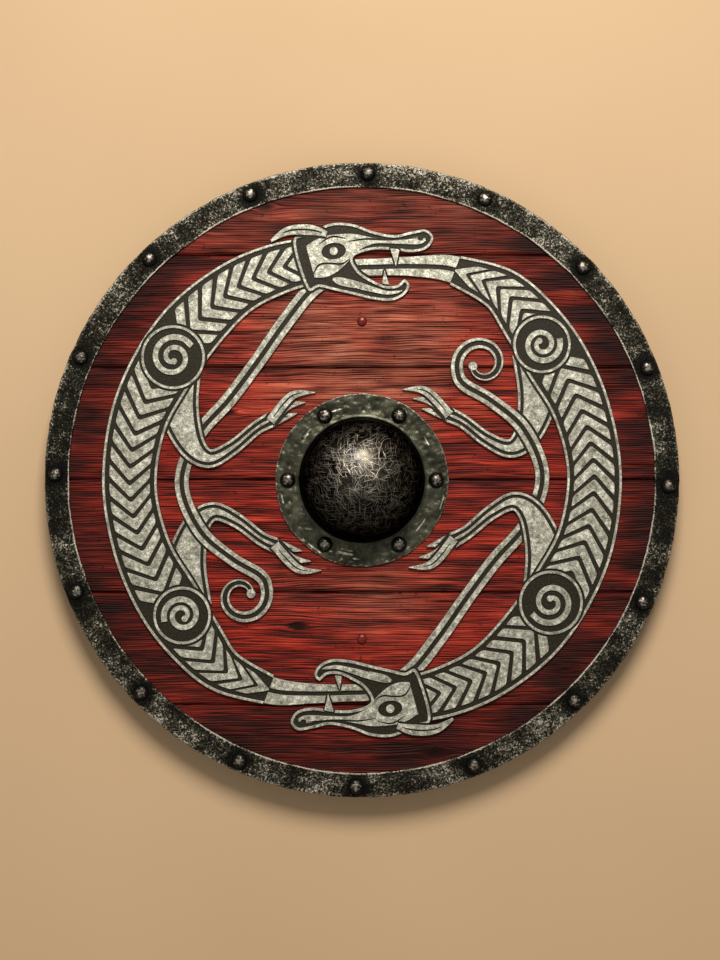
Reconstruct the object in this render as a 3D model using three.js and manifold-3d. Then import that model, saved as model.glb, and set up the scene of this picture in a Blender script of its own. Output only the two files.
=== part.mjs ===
// A round plank shield, lying face up on its grip: six red boards edge to edge, a riveted
// steel rim and boss, a carved overlay of two ribbon beasts that bite each other's tails,
// and a wooden grip behind.
// Millimetres, +Z up through the boss, +Y towards the top of the face, origin on the
// surface that the grip rests on, under the middle of the boss.
import * as THREE from "three";
import { mergeVertices } from "three/addons/utils/BufferGeometryUtils.js";
import Module from "manifold-3d";

const wasm = await Module();
wasm.setup();

// ---- Driving dimensions -------------------------------------------------------------

const SHIELD_RADIUS = 305;
const ROUND_STEPS = 48; // facets round the rim and the boards

const GRIP = { length: 370, endWidth: 38, waistWidth: 30, thick: 18, round: 3 };
const BOARD = { thick: 12, width: 108, count: 6, ease: 1.6, gap: 0.3 };
const RIM = { width: 24, thick: 2.2, wall: 2, ease: 0.8, roll: 2.2 };
const BOSS = { flange: 83.5, dome: 59, rise: 56, cove: 4.5, thick: 2, steps: 28 };
const HAND_HOLE_RADIUS = 56;
const HAND_HOLE_STEPS = 20;
const RIM_RIVET = { count: 16, circle: 294, head: 7.2, rise: 4.6, depth: 9 };
const BOSS_RIVET = { count: 6, circle: 71.2, head: 7.5, rise: 5 };
const SHANK = { width: 5, rove: 9, roveThick: 1.4 }; // both square
const GRIP_NAIL = { offset: 152.5, head: 4.7, rise: 3, shank: 3.4, depth: 12 };
const HEAD_SIDES = 8;
const FIT_GAP = 0.3; // round every shank, and between the boards and the rim's channel

const Z_BACK = GRIP.thick; // back of the boards
const Z_FACE = Z_BACK + BOARD.thick; // face of the boards
const Z_RIM_TOP = Z_FACE + RIM.thick;
const Z_RIM_BACK = Z_BACK - FIT_GAP - RIM.thick;
const BOARD_RADIUS = SHIELD_RADIUS - RIM.wall - FIT_GAP;

// The carved overlay: silver tops standing over a dark cut ground.
const CARVING = { ground: 1.4, thick: 3, edge: 3.2, groove: 3.6, gap: 1.5 };
const CURVE_LIMIT = 1.1; // how far a facet may stand off a carved curve
const CHEVRON = { pitch: 16, bar: 11.8, point: 20 };
const Z_GROUND = Z_FACE + CARVING.ground;
const Z_CARVED = Z_FACE + CARVING.thick;

// The left beast's centre lines: [degrees round the face, radius, width]. The right beast
// is the left one turned half round.
const BODY = [
  [100, 216, 44], [112, 218, 50], [124, 220, 54], [138, 219, 62], [152, 219, 62],
  [166, 222, 56], [182, 223, 53], [198, 221, 56], [212, 219, 62], [224, 222, 56],
  [234, 226, 44], [246, 220, 30],
];
const TAIL = [
  [240, 224, 30], [248, 219, 26], [256, 211, 20], [265, 205, 17], [274, 202, 17],
  [284, 190, 16], [296, 168, 16], [312, 151, 15], [329, 149, 15], [345, 163, 14],
  [361, 173, 14], [377, 163, 14], [391, 146, 13], [403, 134, 13],
];
const FORELEG = [
  [148, 208, 46], [158, 190, 40], [168, 168, 28], [172, 148, 19], [166, 128, 15],
  [154, 113, 14], [146, 104, 16],
];
const HINDLEG = [
  [216, 206, 46], [206, 188, 40], [196, 166, 28], [192, 146, 19], [198, 126, 15],
  [210, 112, 14], [218, 103, 16],
];
const TAIL_CURL = { centre: [404, 160], end: 9, turns: 1.1, width: 13, tip: 6 };
const SHOULDER = { centre: [147, 216], radius: 31, start: 30, hand: 1 };
const HIP = { centre: [217, 216], radius: 28, start: 200, hand: -1 };
const FORE_TOES = { degrees: 146, radius: 100, hand: -1 };
const HIND_TOES = { degrees: 218, radius: 100, hand: 1 };

// The head, laid out along its own line: [forward of the neck, outward of the line].
const HEAD = { neck: 104, radius: 214 };
const HEAD_OUTLINE = [
  [-8, 24], [8, 28], [26, 34], [44, 32], [62, 25], [80, 23], [94, 29], [106, 34],
  [114, 28], [111, 16], [98, 9], [80, 8], [60, 6], [44, -1], [50, -14], [64, -22],
  [78, -26], [90, -24], [97, -17], [104, -22], [101, -32], [88, -40], [66, -41],
  [44, -37], [22, -31], [6, -25], [-8, -23],
];
const SKULL = [[2, 1, 32], [14, 2, 38], [28, 7, 34], [44, 13, 20], [62, 15.5, 7], [80, 16, 4], [104, 22, 8]];
const JAW = [[26, -21, 8], [46, -27, 8], [64, -31, 6], [80, -33, 4.5], [94, -30, 4]];
const EAR = [[22, 24, 6], [8, 31, 11], [-10, 35, 9], [-26, 31, 3]];
const EYE = { at: [26, 7], long: 11, tall: 7.5, pupil: 2.4 };

// ---- Colours ------------------------------------------------------------------------

const finish = (color, roughness, metalness) =>
  new THREE.MeshStandardMaterial({ color, roughness, metalness });
const RED_STAIN = finish(0x7a2a1e, 0.6, 0);
const BARE_WOOD = finish(0x6b4a30, 0.7, 0);
const SILVERED_WOOD = finish(0xa9a296, 0.5, 0.3);
const BLACKENED_STEEL = finish(0x4a4a42, 0.5, 0.8);
const DARK_STEEL = finish(0x2c2a26, 0.4, 0.85);

// ---- Solids -------------------------------------------------------------------------

const radians = THREE.MathUtils.degToRad;

function solidOf(geometry) {
  const bare = geometry.index ? geometry.toNonIndexed() : geometry;
  const merged = mergeVertices(
    new THREE.BufferGeometry().setAttribute("position", bare.getAttribute("position")),
    1e-4,
  );
  return new wasm.Manifold(
    new wasm.Mesh({
      numProp: 3,
      vertProperties: merged.attributes.position.array,
      triVerts: new Uint32Array(merged.index.array),
    }),
  );
}

function geometryOf(solid) {
  const mesh = solid.getMesh();
  const positions = new Float32Array(mesh.numVert * 3);
  for (let i = 0; i < mesh.numVert; i++) {
    const from = i * mesh.numProp;
    positions.set(mesh.vertProperties.subarray(from, from + 3), i * 3);
  }
  return new THREE.BufferGeometry()
    .setAttribute("position", new THREE.BufferAttribute(positions, 3))
    .setIndex(new THREE.BufferAttribute(mesh.triVerts, 1));
}

// A flat outline of [x, y] points raised from one height to another.
function prism(outline, low, high) {
  const shape = new THREE.Shape(outline.map(([x, y]) => new THREE.Vector2(x, y)));
  const options = { depth: high - low, bevelEnabled: false };
  return solidOf(new THREE.ExtrudeGeometry(shape, options).translate(0, 0, low));
}

// A profile of [radius, height] points turned round the Z axis.
function turned(profile, sides) {
  const points = profile.map(([radius, height]) => new THREE.Vector2(radius, height));
  return solidOf(new THREE.LatheGeometry(points, sides).rotateX(Math.PI / 2));
}

const cylinder = (radius, low, high, sides) =>
  turned([[0, low], [radius, low], [radius, high], [0, high]], sides);

const square = (width, low, high) =>
  cylinder(width * Math.SQRT1_2, low, high, 4).rotate([0, 0, 45]);

const union = (solids) => solids.reduce((all, solid) => all.add(solid));

const placed = (solid, [x, y]) => solid.translate([x, y, 0]);

function arc(centreX, centreY, radiusX, radiusY, from, to, steps) {
  return Array.from({ length: steps + 1 }, (_, i) => {
    const angle = radians(from + ((to - from) * i) / steps);
    return [centreX + radiusX * Math.cos(angle), centreY + radiusY * Math.sin(angle)];
  });
}

const onCircle = (degrees, radius) => [
  radius * Math.cos(radians(degrees)),
  radius * Math.sin(radians(degrees)),
];

const shield = new THREE.Group();

function add(name, solid, material) {
  const mesh = new THREE.Mesh(geometryOf(solid), material);
  mesh.name = name;
  shield.add(mesh);
}

// ---- Rivets and nails ---------------------------------------------------------------

// Places counted clockwise from the top of the face.
const places = ({ count, circle }, first) =>
  Array.from({ length: count }, (_, i) => onCircle(90 - first - (360 * i) / count, circle));

const RIM_RIVET_PLACES = places(RIM_RIVET, 1.1);
const BOSS_RIVET_PLACES = places(BOSS_RIVET, 30);
const NAIL_PLACES = [[0, GRIP_NAIL.offset], [0, -GRIP_NAIL.offset]];

function roundHead({ head, rise }, seat) {
  const curve = arc(0, seat, head, rise, 0, 90, 2).slice(0, -1);
  return turned([[0, seat], ...curve, [0, seat + rise]], HEAD_SIDES);
}

// A round head on a square shank that ends at a height.
const studded = (sizes, width, end, seat) =>
  roundHead(sizes, seat).add(square(width, end, seat + 1));

// The rim's studs stop inside the boards. The boss's go through, and are clenched over
// roves behind. The grip's nails go through the boards and end inside the grip.
const RIM_STUD_END = Z_FACE - RIM_RIVET.depth;
const NAIL_END = Z_BACK - GRIP_NAIL.depth;
const rimRivet = studded(RIM_RIVET, SHANK.width, RIM_STUD_END, Z_RIM_TOP);
const bossRivet = studded(BOSS_RIVET, SHANK.width, Z_BACK - 1, Z_FACE + BOSS.thick).add(
  square(SHANK.rove, Z_BACK - SHANK.roveThick, Z_BACK),
);
const gripNail = studded(GRIP_NAIL, GRIP_NAIL.shank, NAIL_END, Z_FACE);

// The holes for the shanks, each a little wider and deeper than its shank.
const hole = (width, end) => square(width + 2 * FIT_GAP, end - FIT_GAP, Z_RIM_TOP + 1);
const SHANK_HOLES = [
  ...RIM_RIVET_PLACES.map((place) => placed(hole(SHANK.width, RIM_STUD_END), place)),
  ...BOSS_RIVET_PLACES.map((place) => placed(hole(SHANK.width, 0), place)),
  ...NAIL_PLACES.map((place) => placed(hole(GRIP_NAIL.shank, NAIL_END), place)),
];
const drilled = (solid) => SHANK_HOLES.reduce((left, hole) => left.subtract(hole), solid);

// ---- Boards -------------------------------------------------------------------------

// A board's section across its grain: square behind, its two front edges eased, so that
// two boards side by side show a V between them.
function boardSection(low, high) {
  const { ease } = BOARD;
  return [
    [low, Z_BACK],
    [high, Z_BACK],
    [high, Z_FACE - ease],
    [high - ease, Z_FACE],
    [low + ease, Z_FACE],
    [low, Z_FACE - ease],
  ];
}

// The section is drawn in Y and Z and pulled along X, then trimmed round.
function board(index) {
  const middle = ((BOARD.count - 1) / 2 - index) * BOARD.width;
  const half = (BOARD.width - BOARD.gap) / 2;
  const section = boardSection(middle - half, middle + half);
  const long = new THREE.ExtrudeGeometry(
    new THREE.Shape(section.map(([y, z]) => new THREE.Vector2(y, z))),
    { depth: SHIELD_RADIUS * 2, bevelEnabled: false },
  )
    .translate(0, 0, -SHIELD_RADIUS)
    .applyMatrix4(new THREE.Matrix4().set(0, 0, 1, 0, 1, 0, 0, 0, 0, 1, 0, 0, 0, 0, 0, 1));
  const disc = cylinder(BOARD_RADIUS, 0, Z_FACE * 2, ROUND_STEPS);
  const hand = cylinder(HAND_HOLE_RADIUS, 0, Z_FACE * 2, HAND_HOLE_STEPS);
  return drilled(solidOf(long).intersect(disc).subtract(hand));
}

for (let i = 0; i < BOARD.count; i++) {
  add(`board_${i + 1}`, board(i), RED_STAIN);
}

// ---- Rim ----------------------------------------------------------------------------

// A channel folded round the edge: one broad leg on the face, another behind.
function rim() {
  const inner = SHIELD_RADIUS - RIM.width;
  const channel = SHIELD_RADIUS - RIM.wall;
  const { ease, roll } = RIM;
  const profile = [
    [inner, Z_FACE],
    [channel, Z_FACE],
    [channel, Z_BACK - FIT_GAP],
    [inner, Z_BACK - FIT_GAP],
    [inner, Z_RIM_BACK],
    ...arc(SHIELD_RADIUS - roll, Z_RIM_BACK + roll, roll, roll, -90, 0, 1),
    ...arc(SHIELD_RADIUS - roll, Z_RIM_TOP - roll, roll, roll, 0, 90, 1),
    [inner + ease, Z_RIM_TOP],
    [inner, Z_RIM_TOP - ease],
  ];
  return drilled(turned([...profile, profile[0]], ROUND_STEPS));
}

add("rim", rim(), BLACKENED_STEEL);

RIM_RIVET_PLACES.forEach((place, i) => {
  const name = `rim_rivet_${String(i + 1).padStart(2, "0")}`;
  add(name, placed(rimRivet, place), BLACKENED_STEEL);
});

// ---- Boss ---------------------------------------------------------------------------

// A dome beaten up from a flat flange, hollow behind for the hand.
function boss() {
  const { flange, dome, rise, cove, thick } = BOSS;
  const springing = Z_FACE + thick + cove; // where the cove turns into the dome
  const crown = springing + rise;
  const outerCove = arc(dome + cove, springing, cove, cove, -90, -180, 2);
  const outerDome = arc(0, springing, dome, rise, 0, 90, 6);
  const innerDome = arc(0, springing, dome - thick, rise - thick, 90, 0, 3);
  const profile = [
    [flange, Z_FACE],
    [flange, Z_FACE + thick],
    ...outerCove,
    ...outerDome.slice(1, -1),
    [0, crown],
    [0, crown - thick],
    ...innerDome.slice(1),
    [dome - thick + 1, Z_FACE],
  ];
  return drilled(turned([...profile, profile[0]], BOSS.steps));
}

add("boss", boss(), DARK_STEEL);

BOSS_RIVET_PLACES.forEach((place, i) => {
  add(`boss_rivet_${i + 1}`, placed(bossRivet, place), BLACKENED_STEEL);
});

// ---- Carving ------------------------------------------------------------------------

// A smooth curve through rows of numbers, with a few steps from each row to the next.
function smoothed(rows, steps, closed = false) {
  const count = rows.length;
  const row = (i) => (closed ? rows[(i + count) % count] : rows[Math.min(Math.max(i, 0), count - 1)]);
  const curve = [];
  for (let i = 0; i < (closed ? count : count - 1); i++) {
    for (let k = 0; k < steps; k++) {
      const t = k / steps;
      curve.push(
        row(i).map((b, n) => {
          const [a, c, d] = [row(i - 1)[n], row(i + 1)[n], row(i + 2)[n]];
          const square = (2 * a - 5 * b + 4 * c - d) * t * t;
          return 0.5 * (2 * b + (c - a) * t + square + (3 * b - a - 3 * c + d) * t ** 3);
        }),
      );
    }
  }
  return closed ? curve : [...curve, rows[count - 1]];
}

// The fewest rows of [x, y, width] that keep within a distance of a curve.
function thinned(rows, within) {
  const last = rows.length - 1;
  const [a, b] = [rows[0], rows[last]];
  const chord = [b[0] - a[0], b[1] - a[1]];
  const length = Math.hypot(...chord);
  const gaps = rows.map(([x, y, width]) => {
    const along = ((x - a[0]) * chord[0] + (y - a[1]) * chord[1]) / length;
    const across = ((x - a[0]) * chord[1] - (y - a[1]) * chord[0]) / length;
    const even = a[2] + ((b[2] - a[2]) * along) / length;
    return Math.abs(across) + Math.abs(width - even) / 2;
  });
  const far = gaps.indexOf(Math.max(...gaps));
  if (last < 2 || gaps[far] <= within) return [a, b];
  return [...thinned(rows.slice(0, far + 1), within), ...thinned(rows.slice(far), within).slice(1)];
}

// Unit vectors to the left of a line of points.
function leftOf(line, closed = false) {
  const count = line.length;
  return line.map((_, i) => {
    const before = closed ? line[(i + count - 1) % count] : line[Math.max(i - 1, 0)];
    const after = closed ? line[(i + 1) % count] : line[Math.min(i + 1, count - 1)];
    const [x, y] = [after[0] - before[0], after[1] - before[1]];
    const length = Math.hypot(x, y);
    return [-y / length, x / length];
  });
}

// A strap of changing width along a centre line of [x, y, width] rows.
class Strap {
  constructor(rows, within = CURVE_LIMIT) {
    this.rows = thinned(smoothed(rows, 8), within);
    this.left = leftOf(this.rows);
  }

  // The line that runs at a part of the half width, less an inset, to one side.
  side(part, inset) {
    return this.rows.map(([x, y, width], i) => {
      const away = part * Math.max(width / 2 - inset, 0.1);
      return [x + this.left[i][0] * away, y + this.left[i][1] * away];
    });
  }

  // The line that runs beside the middle groove, which narrows where the strap does.
  middle(part) {
    return this.rows.map(([x, y, width], i) => {
      const away = part * Math.min(CARVING.groove / 2, width / 5);
      return [x + this.left[i][0] * away, y + this.left[i][1] * away];
    });
  }

  outline(inset = 0) {
    return [...this.side(1, inset), ...this.side(-1, inset).reverse()];
  }

  // The strap as four-cornered lengths, which stay simple where it curls up tightly.
  lengths(inset) {
    const [left, right] = [this.side(1, inset), this.side(-1, inset)];
    return left.slice(1).map((corner, i) => [left[i], corner, right[i + 1], right[i]]);
  }

  edges(width) {
    return [1, -1].map((part) => [
      ...this.side(part, 0),
      ...this.side(part, width).reverse(),
    ]);
  }

  // A place at a distance along the strap and a part of its inset half width across.
  spot(distance, part, inset) {
    let left = distance;
    for (let i = 0; i < this.rows.length - 1; i++) {
      const [a, b] = [this.rows[i], this.rows[i + 1]];
      const length = Math.hypot(b[0] - a[0], b[1] - a[1]);
      if (left <= length || i === this.rows.length - 2) {
        const t = left / length;
        const [x, y, width] = a.map((value, n) => value + (b[n] - value) * t);
        const away = part * (width / 2 - inset);
        return [x + this.left[i][0] * away, y + this.left[i][1] * away];
      }
      left -= length;
    }
  }

  get length() {
    return this.rows
      .slice(1)
      .reduce((sum, b, i) => sum + Math.hypot(b[0] - this.rows[i][0], b[1] - this.rows[i][1]), 0);
  }
}

const roundFace = (rows) => rows.map(([degrees, radius, ...rest]) => [...onCircle(degrees, radius), ...rest]);

// A place on the head, from its own line to the face.
const onHead = ([forward, outward, ...rest]) => {
  const turn = (forward / HEAD.radius) * (180 / Math.PI);
  return [...onCircle(HEAD.neck - turn, HEAD.radius + outward), ...rest];
};

const disc = ([x, y], radius, sides) => arc(x, y, radius, radius, 0, 360, sides).slice(0, -1);

// A closed outline moved inwards, or outwards by a distance below zero.
function inset(outline, distance) {
  const left = leftOf(outline, true);
  const area = THREE.ShapeUtils.area(outline.map(([x, y]) => ({ x, y })));
  const inwards = distance * Math.sign(area);
  return outline.map(([x, y], i) => [x + left[i][0] * inwards, y + left[i][1] * inwards]);
}

// Rows of a spiral strap winding inwards.
function spiral([x, y], { from, to, turns, start, hand, width, tip }, steps) {
  return Array.from({ length: steps + 1 }, (_, i) => {
    const t = i / steps;
    const [dx, dy] = onCircle(start + hand * 360 * turns * t, from + (to - from) * t);
    return [x + dx, y + dy, width + (tip - width) * t];
  });
}

// V-shaped bars side by side across a strap, pointing along it, but for the ones that lie
// under something.
function chevrons(strap, from, to, covered) {
  const count = Math.round((to - from) / CHEVRON.pitch);
  const [bar, point] = [CHEVRON.bar / 2, CHEVRON.point / 2];
  const within = CARVING.edge + CARVING.groove;
  const middles = Array.from({ length: count }, (_, i) => from + ((to - from) * (i + 0.5)) / count);
  return middles.filter((middle) => !covered(strap.spot(middle, 0, 0))).map((middle) =>
    [
      [bar + point, 0],
      [bar - point, 1],
      [-bar - point, 1],
      [point - bar, 0],
      [-bar - point, -1],
      [bar - point, -1],
    ].map(([along, part]) => strap.spot(middle + along, part, within)),
  );
}

const halfTurned = (outline) => outline.map(([x, y]) => [-x, -y]);
const bothBeasts = (outlines) => [...outlines, ...outlines.map(halfTurned)];

// The parts of a beast overlap like straps. Each is laid over the ones before it, and
// cuts their silver back by a narrow gap all round itself.
let ground = null;
let silver = null;

function lay(outlines, widened, silverOutlines) {
  const flats = bothBeasts(outlines).map((line) => prism(line, Z_FACE, Z_GROUND));
  const tops = bothBeasts(silverOutlines).map((line) => prism(line, Z_FACE, Z_CARVED));
  const gaps = bothBeasts(widened).map((line) => prism(line, Z_GROUND, Z_CARVED + 1));
  ground = ground ? ground.add(union(flats)) : union(flats);
  silver = silver ? silver.subtract(union(gaps)).add(union(tops)) : union(tops);
}

function carve(outlines) {
  bothBeasts(outlines).forEach((line) => {
    silver = silver.subtract(prism(line, Z_GROUND, Z_CARVED + 1));
  });
}

function layStrap(strap, silverOutlines) {
  lay([strap.outline()], strap.lengths(-CARVING.gap), silverOutlines);
}

// A strap with a silver edge down each side and a silver core between two grooves.
function layBandedStrap(strap) {
  const core = strap.outline(CARVING.edge + CARVING.groove);
  layStrap(strap, [...strap.edges(CARVING.edge), core]);
}

// A strap of two strands with one groove between them.
function layTwinStrap(strap) {
  const [left, right] = [1, -1].map((part) => [
    ...strap.side(part, 0),
    ...strap.middle(part).reverse(),
  ]);
  layStrap(strap, [left, right]);
}

function layJoint({ centre, radius, start, hand }) {
  const [middle] = roundFace([centre]);
  const sides = 14;
  const round = disc(middle, radius, sides);
  lay([round], [disc(middle, radius + CARVING.gap, sides)], [round]);
  carve([disc(middle, radius - CARVING.edge, sides)]);
  const coil = { from: radius - 10, to: 4, turns: 1.7, start, hand, width: 6.4, tip: 5 };
  return new Strap(spiral(middle, coil, 16), 1.5 * CURVE_LIMIT);
}

function layToes({ degrees, radius, hand }) {
  for (let i = 0; i < 3; i++) {
    const toe = new Strap(
      roundFace([
        [degrees - hand * (1 + 0.3 * i), radius + 3 + 0.7 * i, 11 - 0.6 * i],
        [degrees + hand * (4 + 6 * i), radius - 3 + 4 * i, 9],
        [degrees + hand * (12 + 8 * i), radius - 11 + 3 * i, 3],
      ]),
    );
    layStrap(toe, [toe.outline()]);
  }
}

function tailWithCurl() {
  const rows = roundFace(TAIL);
  const [centre] = roundFace([TAIL_CURL.centre]);
  const [x, y] = rows[rows.length - 1];
  const [dx, dy] = [x - centre[0], y - centre[1]];
  const start = THREE.MathUtils.radToDeg(Math.atan2(dy, dx));
  const { end: to, turns, width, tip } = TAIL_CURL;
  const coil = { from: Math.hypot(dx, dy), to, turns, start, hand: -1, width, tip };
  return [...rows, ...spiral(centre, coil, 10).slice(1)];
}

const body = new Strap(roundFace(BODY));
const underJoint = ([x, y]) =>
  [SHOULDER, HIP].some(({ centre, radius }) => {
    const [[middleX, middleY]] = roundFace([centre]);
    return Math.hypot(x - middleX, y - middleY) < radius / 2;
  });
layBandedStrap(new Strap(roundFace(HINDLEG)));
layTwinStrap(new Strap(tailWithCurl()));
layBandedStrap(new Strap(roundFace(FORELEG)));
layStrap(body, [...body.edges(CARVING.edge), ...chevrons(body, 12, body.length - 6, underJoint)]);
const coils = [SHOULDER, HIP].map(layJoint);
layToes(FORE_TOES);
layToes(HIND_TOES);

const headOutline = smoothed(HEAD_OUTLINE, 1, true).map(onHead);
const skull = new Strap(SKULL.map(onHead)).outline();
const jaw = new Strap(JAW.map(onHead)).outline();
lay([headOutline], [inset(headOutline, -CARVING.gap)], [headOutline]);
carve([inset(headOutline, CARVING.edge)]);

const almond = (grow) =>
  arc(EYE.at[0], EYE.at[1], EYE.long + grow, EYE.tall + grow, 0, 360, 10).slice(0, -1).map(onHead);
const raised = bothBeasts([skull, jaw, ...coils.map((coil) => coil.outline())]);
silver = silver.add(union(raised.map((line) => prism(line, Z_FACE, Z_CARVED))));
carve([almond(0)]);
const pupil = bothBeasts([disc(onHead(EYE.at), EYE.pupil + 2, 8)]);
silver = silver.add(union(pupil.map((line) => prism(line, Z_FACE, Z_CARVED))));
const ear = new Strap(EAR.map(onHead));
layStrap(ear, [ear.outline()]);

// Faces that the straps share are made one again.
const carving = ground.add(silver).asOriginal().simplify(0.25);
add("carving", carving, SILVERED_WOOD);

// ---- Grip ---------------------------------------------------------------------------

// A batten down the back, waisted where the hand closes round it, its edges rounded.
function grip() {
  const { length, endWidth, waistWidth, thick, round } = GRIP;
  const end = length / 2 - round;
  const side = endWidth / 2 - round;
  const waist = waistWidth / 2 - round;
  const shoulder = HAND_HOLE_RADIUS + 12;
  const outline = new THREE.Shape()
    .moveTo(-side, -end)
    .lineTo(side, -end)
    .lineTo(side, -shoulder - 30)
    .bezierCurveTo(side, -shoulder, waist, -shoulder, waist, -shoulder + 30)
    .lineTo(waist, shoulder - 30)
    .bezierCurveTo(waist, shoulder, side, shoulder, side, shoulder + 30)
    .lineTo(side, end)
    .lineTo(-side, end)
    .lineTo(-side, shoulder + 30)
    .bezierCurveTo(-side, shoulder, -waist, shoulder, -waist, shoulder - 30)
    .lineTo(-waist, -shoulder + 30)
    .bezierCurveTo(-waist, -shoulder, -side, -shoulder, -side, -shoulder - 30)
    .closePath();
  const bar = new THREE.ExtrudeGeometry(outline, {
    depth: thick - 2 * round,
    bevelThickness: round,
    bevelSize: round,
    bevelSegments: 2,
    curveSegments: 2,
  }).translate(0, 0, round);
  return drilled(solidOf(bar));
}

add("grip", grip(), BARE_WOOD);
NAIL_PLACES.forEach((place, i) => {
  add(`grip_nail_${i + 1}`, placed(gripNail, place), RED_STAIN);
});

export default shield;
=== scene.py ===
# %% [markdown]
# # A round plank shield
# Six red boards lie edge to edge inside a folded steel rim. A hollow steel boss covers the
# hand hole, and a carved and silvered overlay of two ribbon beasts runs round it. The
# shield lies face up on its grip, and the camera looks straight down on it.
#
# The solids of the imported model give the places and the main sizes. The pieces below stand
# for them, with the wood's grain, the hammer marks and the worn edges that the solids leave out.

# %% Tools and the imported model
import math
import random

import bmesh
import bpy
import mathutils
import numpy as np
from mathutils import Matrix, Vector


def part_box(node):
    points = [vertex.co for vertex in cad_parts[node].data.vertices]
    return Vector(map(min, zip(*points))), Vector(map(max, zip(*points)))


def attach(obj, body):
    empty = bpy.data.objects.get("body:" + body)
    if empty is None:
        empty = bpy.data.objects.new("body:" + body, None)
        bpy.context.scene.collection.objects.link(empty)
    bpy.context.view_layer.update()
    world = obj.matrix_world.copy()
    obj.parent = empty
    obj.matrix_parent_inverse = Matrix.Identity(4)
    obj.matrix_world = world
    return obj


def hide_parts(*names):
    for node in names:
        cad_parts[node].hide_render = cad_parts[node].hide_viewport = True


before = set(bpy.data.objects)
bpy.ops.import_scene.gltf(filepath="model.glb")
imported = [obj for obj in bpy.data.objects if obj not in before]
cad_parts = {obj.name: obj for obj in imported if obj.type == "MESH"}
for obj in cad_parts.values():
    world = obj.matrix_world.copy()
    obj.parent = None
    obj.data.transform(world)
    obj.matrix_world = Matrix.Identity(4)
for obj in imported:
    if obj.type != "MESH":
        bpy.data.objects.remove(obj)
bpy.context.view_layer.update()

# %% [markdown]
# ## Sizes
# All in metres, read from the solids wherever a box round one gives the number. Heights go
# up from the surface that the grip rests on.

# %% Sizes
MM = 0.001
Z_BACK, Z_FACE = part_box("board_3")[0][2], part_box("board_3")[1][2]
Z_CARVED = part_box("carving")[1][2]
GROUND_THICK = 1.4 * MM
Z_GROUND = Z_FACE + GROUND_THICK
Z_RIM_TOP, Z_RIM_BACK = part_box("rim")[1][2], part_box("rim")[0][2]
SHIELD_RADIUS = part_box("rim")[1][0]
RIM_AND_ROOM = 2.3 * MM
BOARD_RADIUS = SHIELD_RADIUS - RIM_AND_ROOM
RIM_WIDTH = 24 * MM
BOARD_WIDTH = 108 * MM
BOARD_GAP = 0.3 * MM
HAND_HOLE_RADIUS = 56 * MM
FLANGE_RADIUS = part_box("boss")[1][0]
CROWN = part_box("boss")[1][2]
print("face", Z_FACE, "rim", Z_RIM_TOP, "crown", CROWN, "radius", SHIELD_RADIUS)

# %% [markdown]
# ## Working by hand in edit mode
# Pieces start as Blender's primitives and are shaped in edit mode. These few functions
# open a piece, pick points, edges or faces by place, and close it again.


# %% Working by hand in edit mode
def primitive(kind, name, **settings):
    """Adds one of Blender's primitives and names it."""
    getattr(bpy.ops.mesh, f"primitive_{kind}_add")(**settings)
    piece = bpy.context.object
    piece.name = name
    piece.data.name = name
    return piece


def only(piece):
    """Selects one piece alone and makes it the active one."""
    bpy.ops.object.select_all(action="DESELECT")
    piece.select_set(True)
    bpy.context.view_layer.objects.active = piece
    return piece


def open_mesh(piece):
    only(piece)
    bpy.ops.object.mode_set(mode="EDIT")


def close_mesh(tidy=True):
    bpy.ops.mesh.select_mode(type="VERT")
    bpy.ops.mesh.select_all(action="SELECT")
    if tidy:
        bpy.ops.mesh.remove_doubles(threshold=1e-6)
        bpy.ops.mesh.normals_make_consistent(inside=False)
    bpy.ops.object.mode_set(mode="OBJECT")


def pick(test, kind="VERT"):
    """Selects the points, edges or faces whose every corner passes the test."""
    bpy.ops.mesh.select_mode(type=kind)
    bpy.ops.mesh.select_all(action="DESELECT")
    mesh = bmesh.from_edit_mesh(bpy.context.object.data)
    items = {"VERT": mesh.verts, "EDGE": mesh.edges, "FACE": mesh.faces}[kind]
    for item in items:
        points = [item.co] if kind == "VERT" else [v.co for v in item.verts]
        item.select_set(all(test(p) for p in points))
    mesh.select_flush_mode()
    bmesh.update_edit_mesh(bpy.context.object.data)


def points_of(piece):
    points = np.empty(len(piece.data.vertices) * 3)
    piece.data.vertices.foreach_get("co", points)
    return points.reshape(-1, 3)


def move_points(piece, points):
    piece.data.vertices.foreach_set("co", np.asarray(points, dtype=float).ravel())
    piece.data.update()


def finish_in(piece, *looks):
    """Gives a piece its materials, in order, and starts all its faces on the first."""
    piece.data.materials.clear()
    for look in looks:
        piece.data.materials.append(look)
    piece.data.polygons.foreach_set("material_index", [0] * len(piece.data.polygons))


def paint(piece, name, values):
    """Stores one number at each point, for the piece's material to read."""
    layer = piece.data.attributes.new(name, "FLOAT", "POINT")
    layer.data.foreach_set("value", np.asarray(values, dtype=np.float32))


def on_circle(degrees, radius):
    return radius * math.cos(math.radians(degrees)), radius * math.sin(math.radians(degrees))


def modify(piece, kind, **settings):
    """Adds a modifier, sets it and applies it."""
    only(piece)
    modifier = piece.modifiers.new(kind.title(), kind)
    for name, value in settings.items():
        setattr(modifier, name, value)
    bpy.ops.object.modifier_apply(modifier=modifier.name)


def centre_of(name):
    """The middle of a solid, seen from above."""
    low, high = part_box(name)
    return (low[0] + high[0]) / 2, (low[1] + high[1]) / 2


def smooth(piece, degrees):
    only(piece)
    bpy.ops.object.shade_smooth_by_angle(angle=math.radians(degrees))


def place(piece, slot, *nodes):
    """Hides the solids that the piece stands for, and makes it move with the shield."""
    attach(piece, "root")
    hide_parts(*nodes)


# %% [markdown]
# ## Uneven surfaces
# Wood and hammered steel are uneven at random but not jagged. This is smooth value noise:
# random heights on a square grid, blended between its corners. The same seed always gives
# the same surface.


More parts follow.
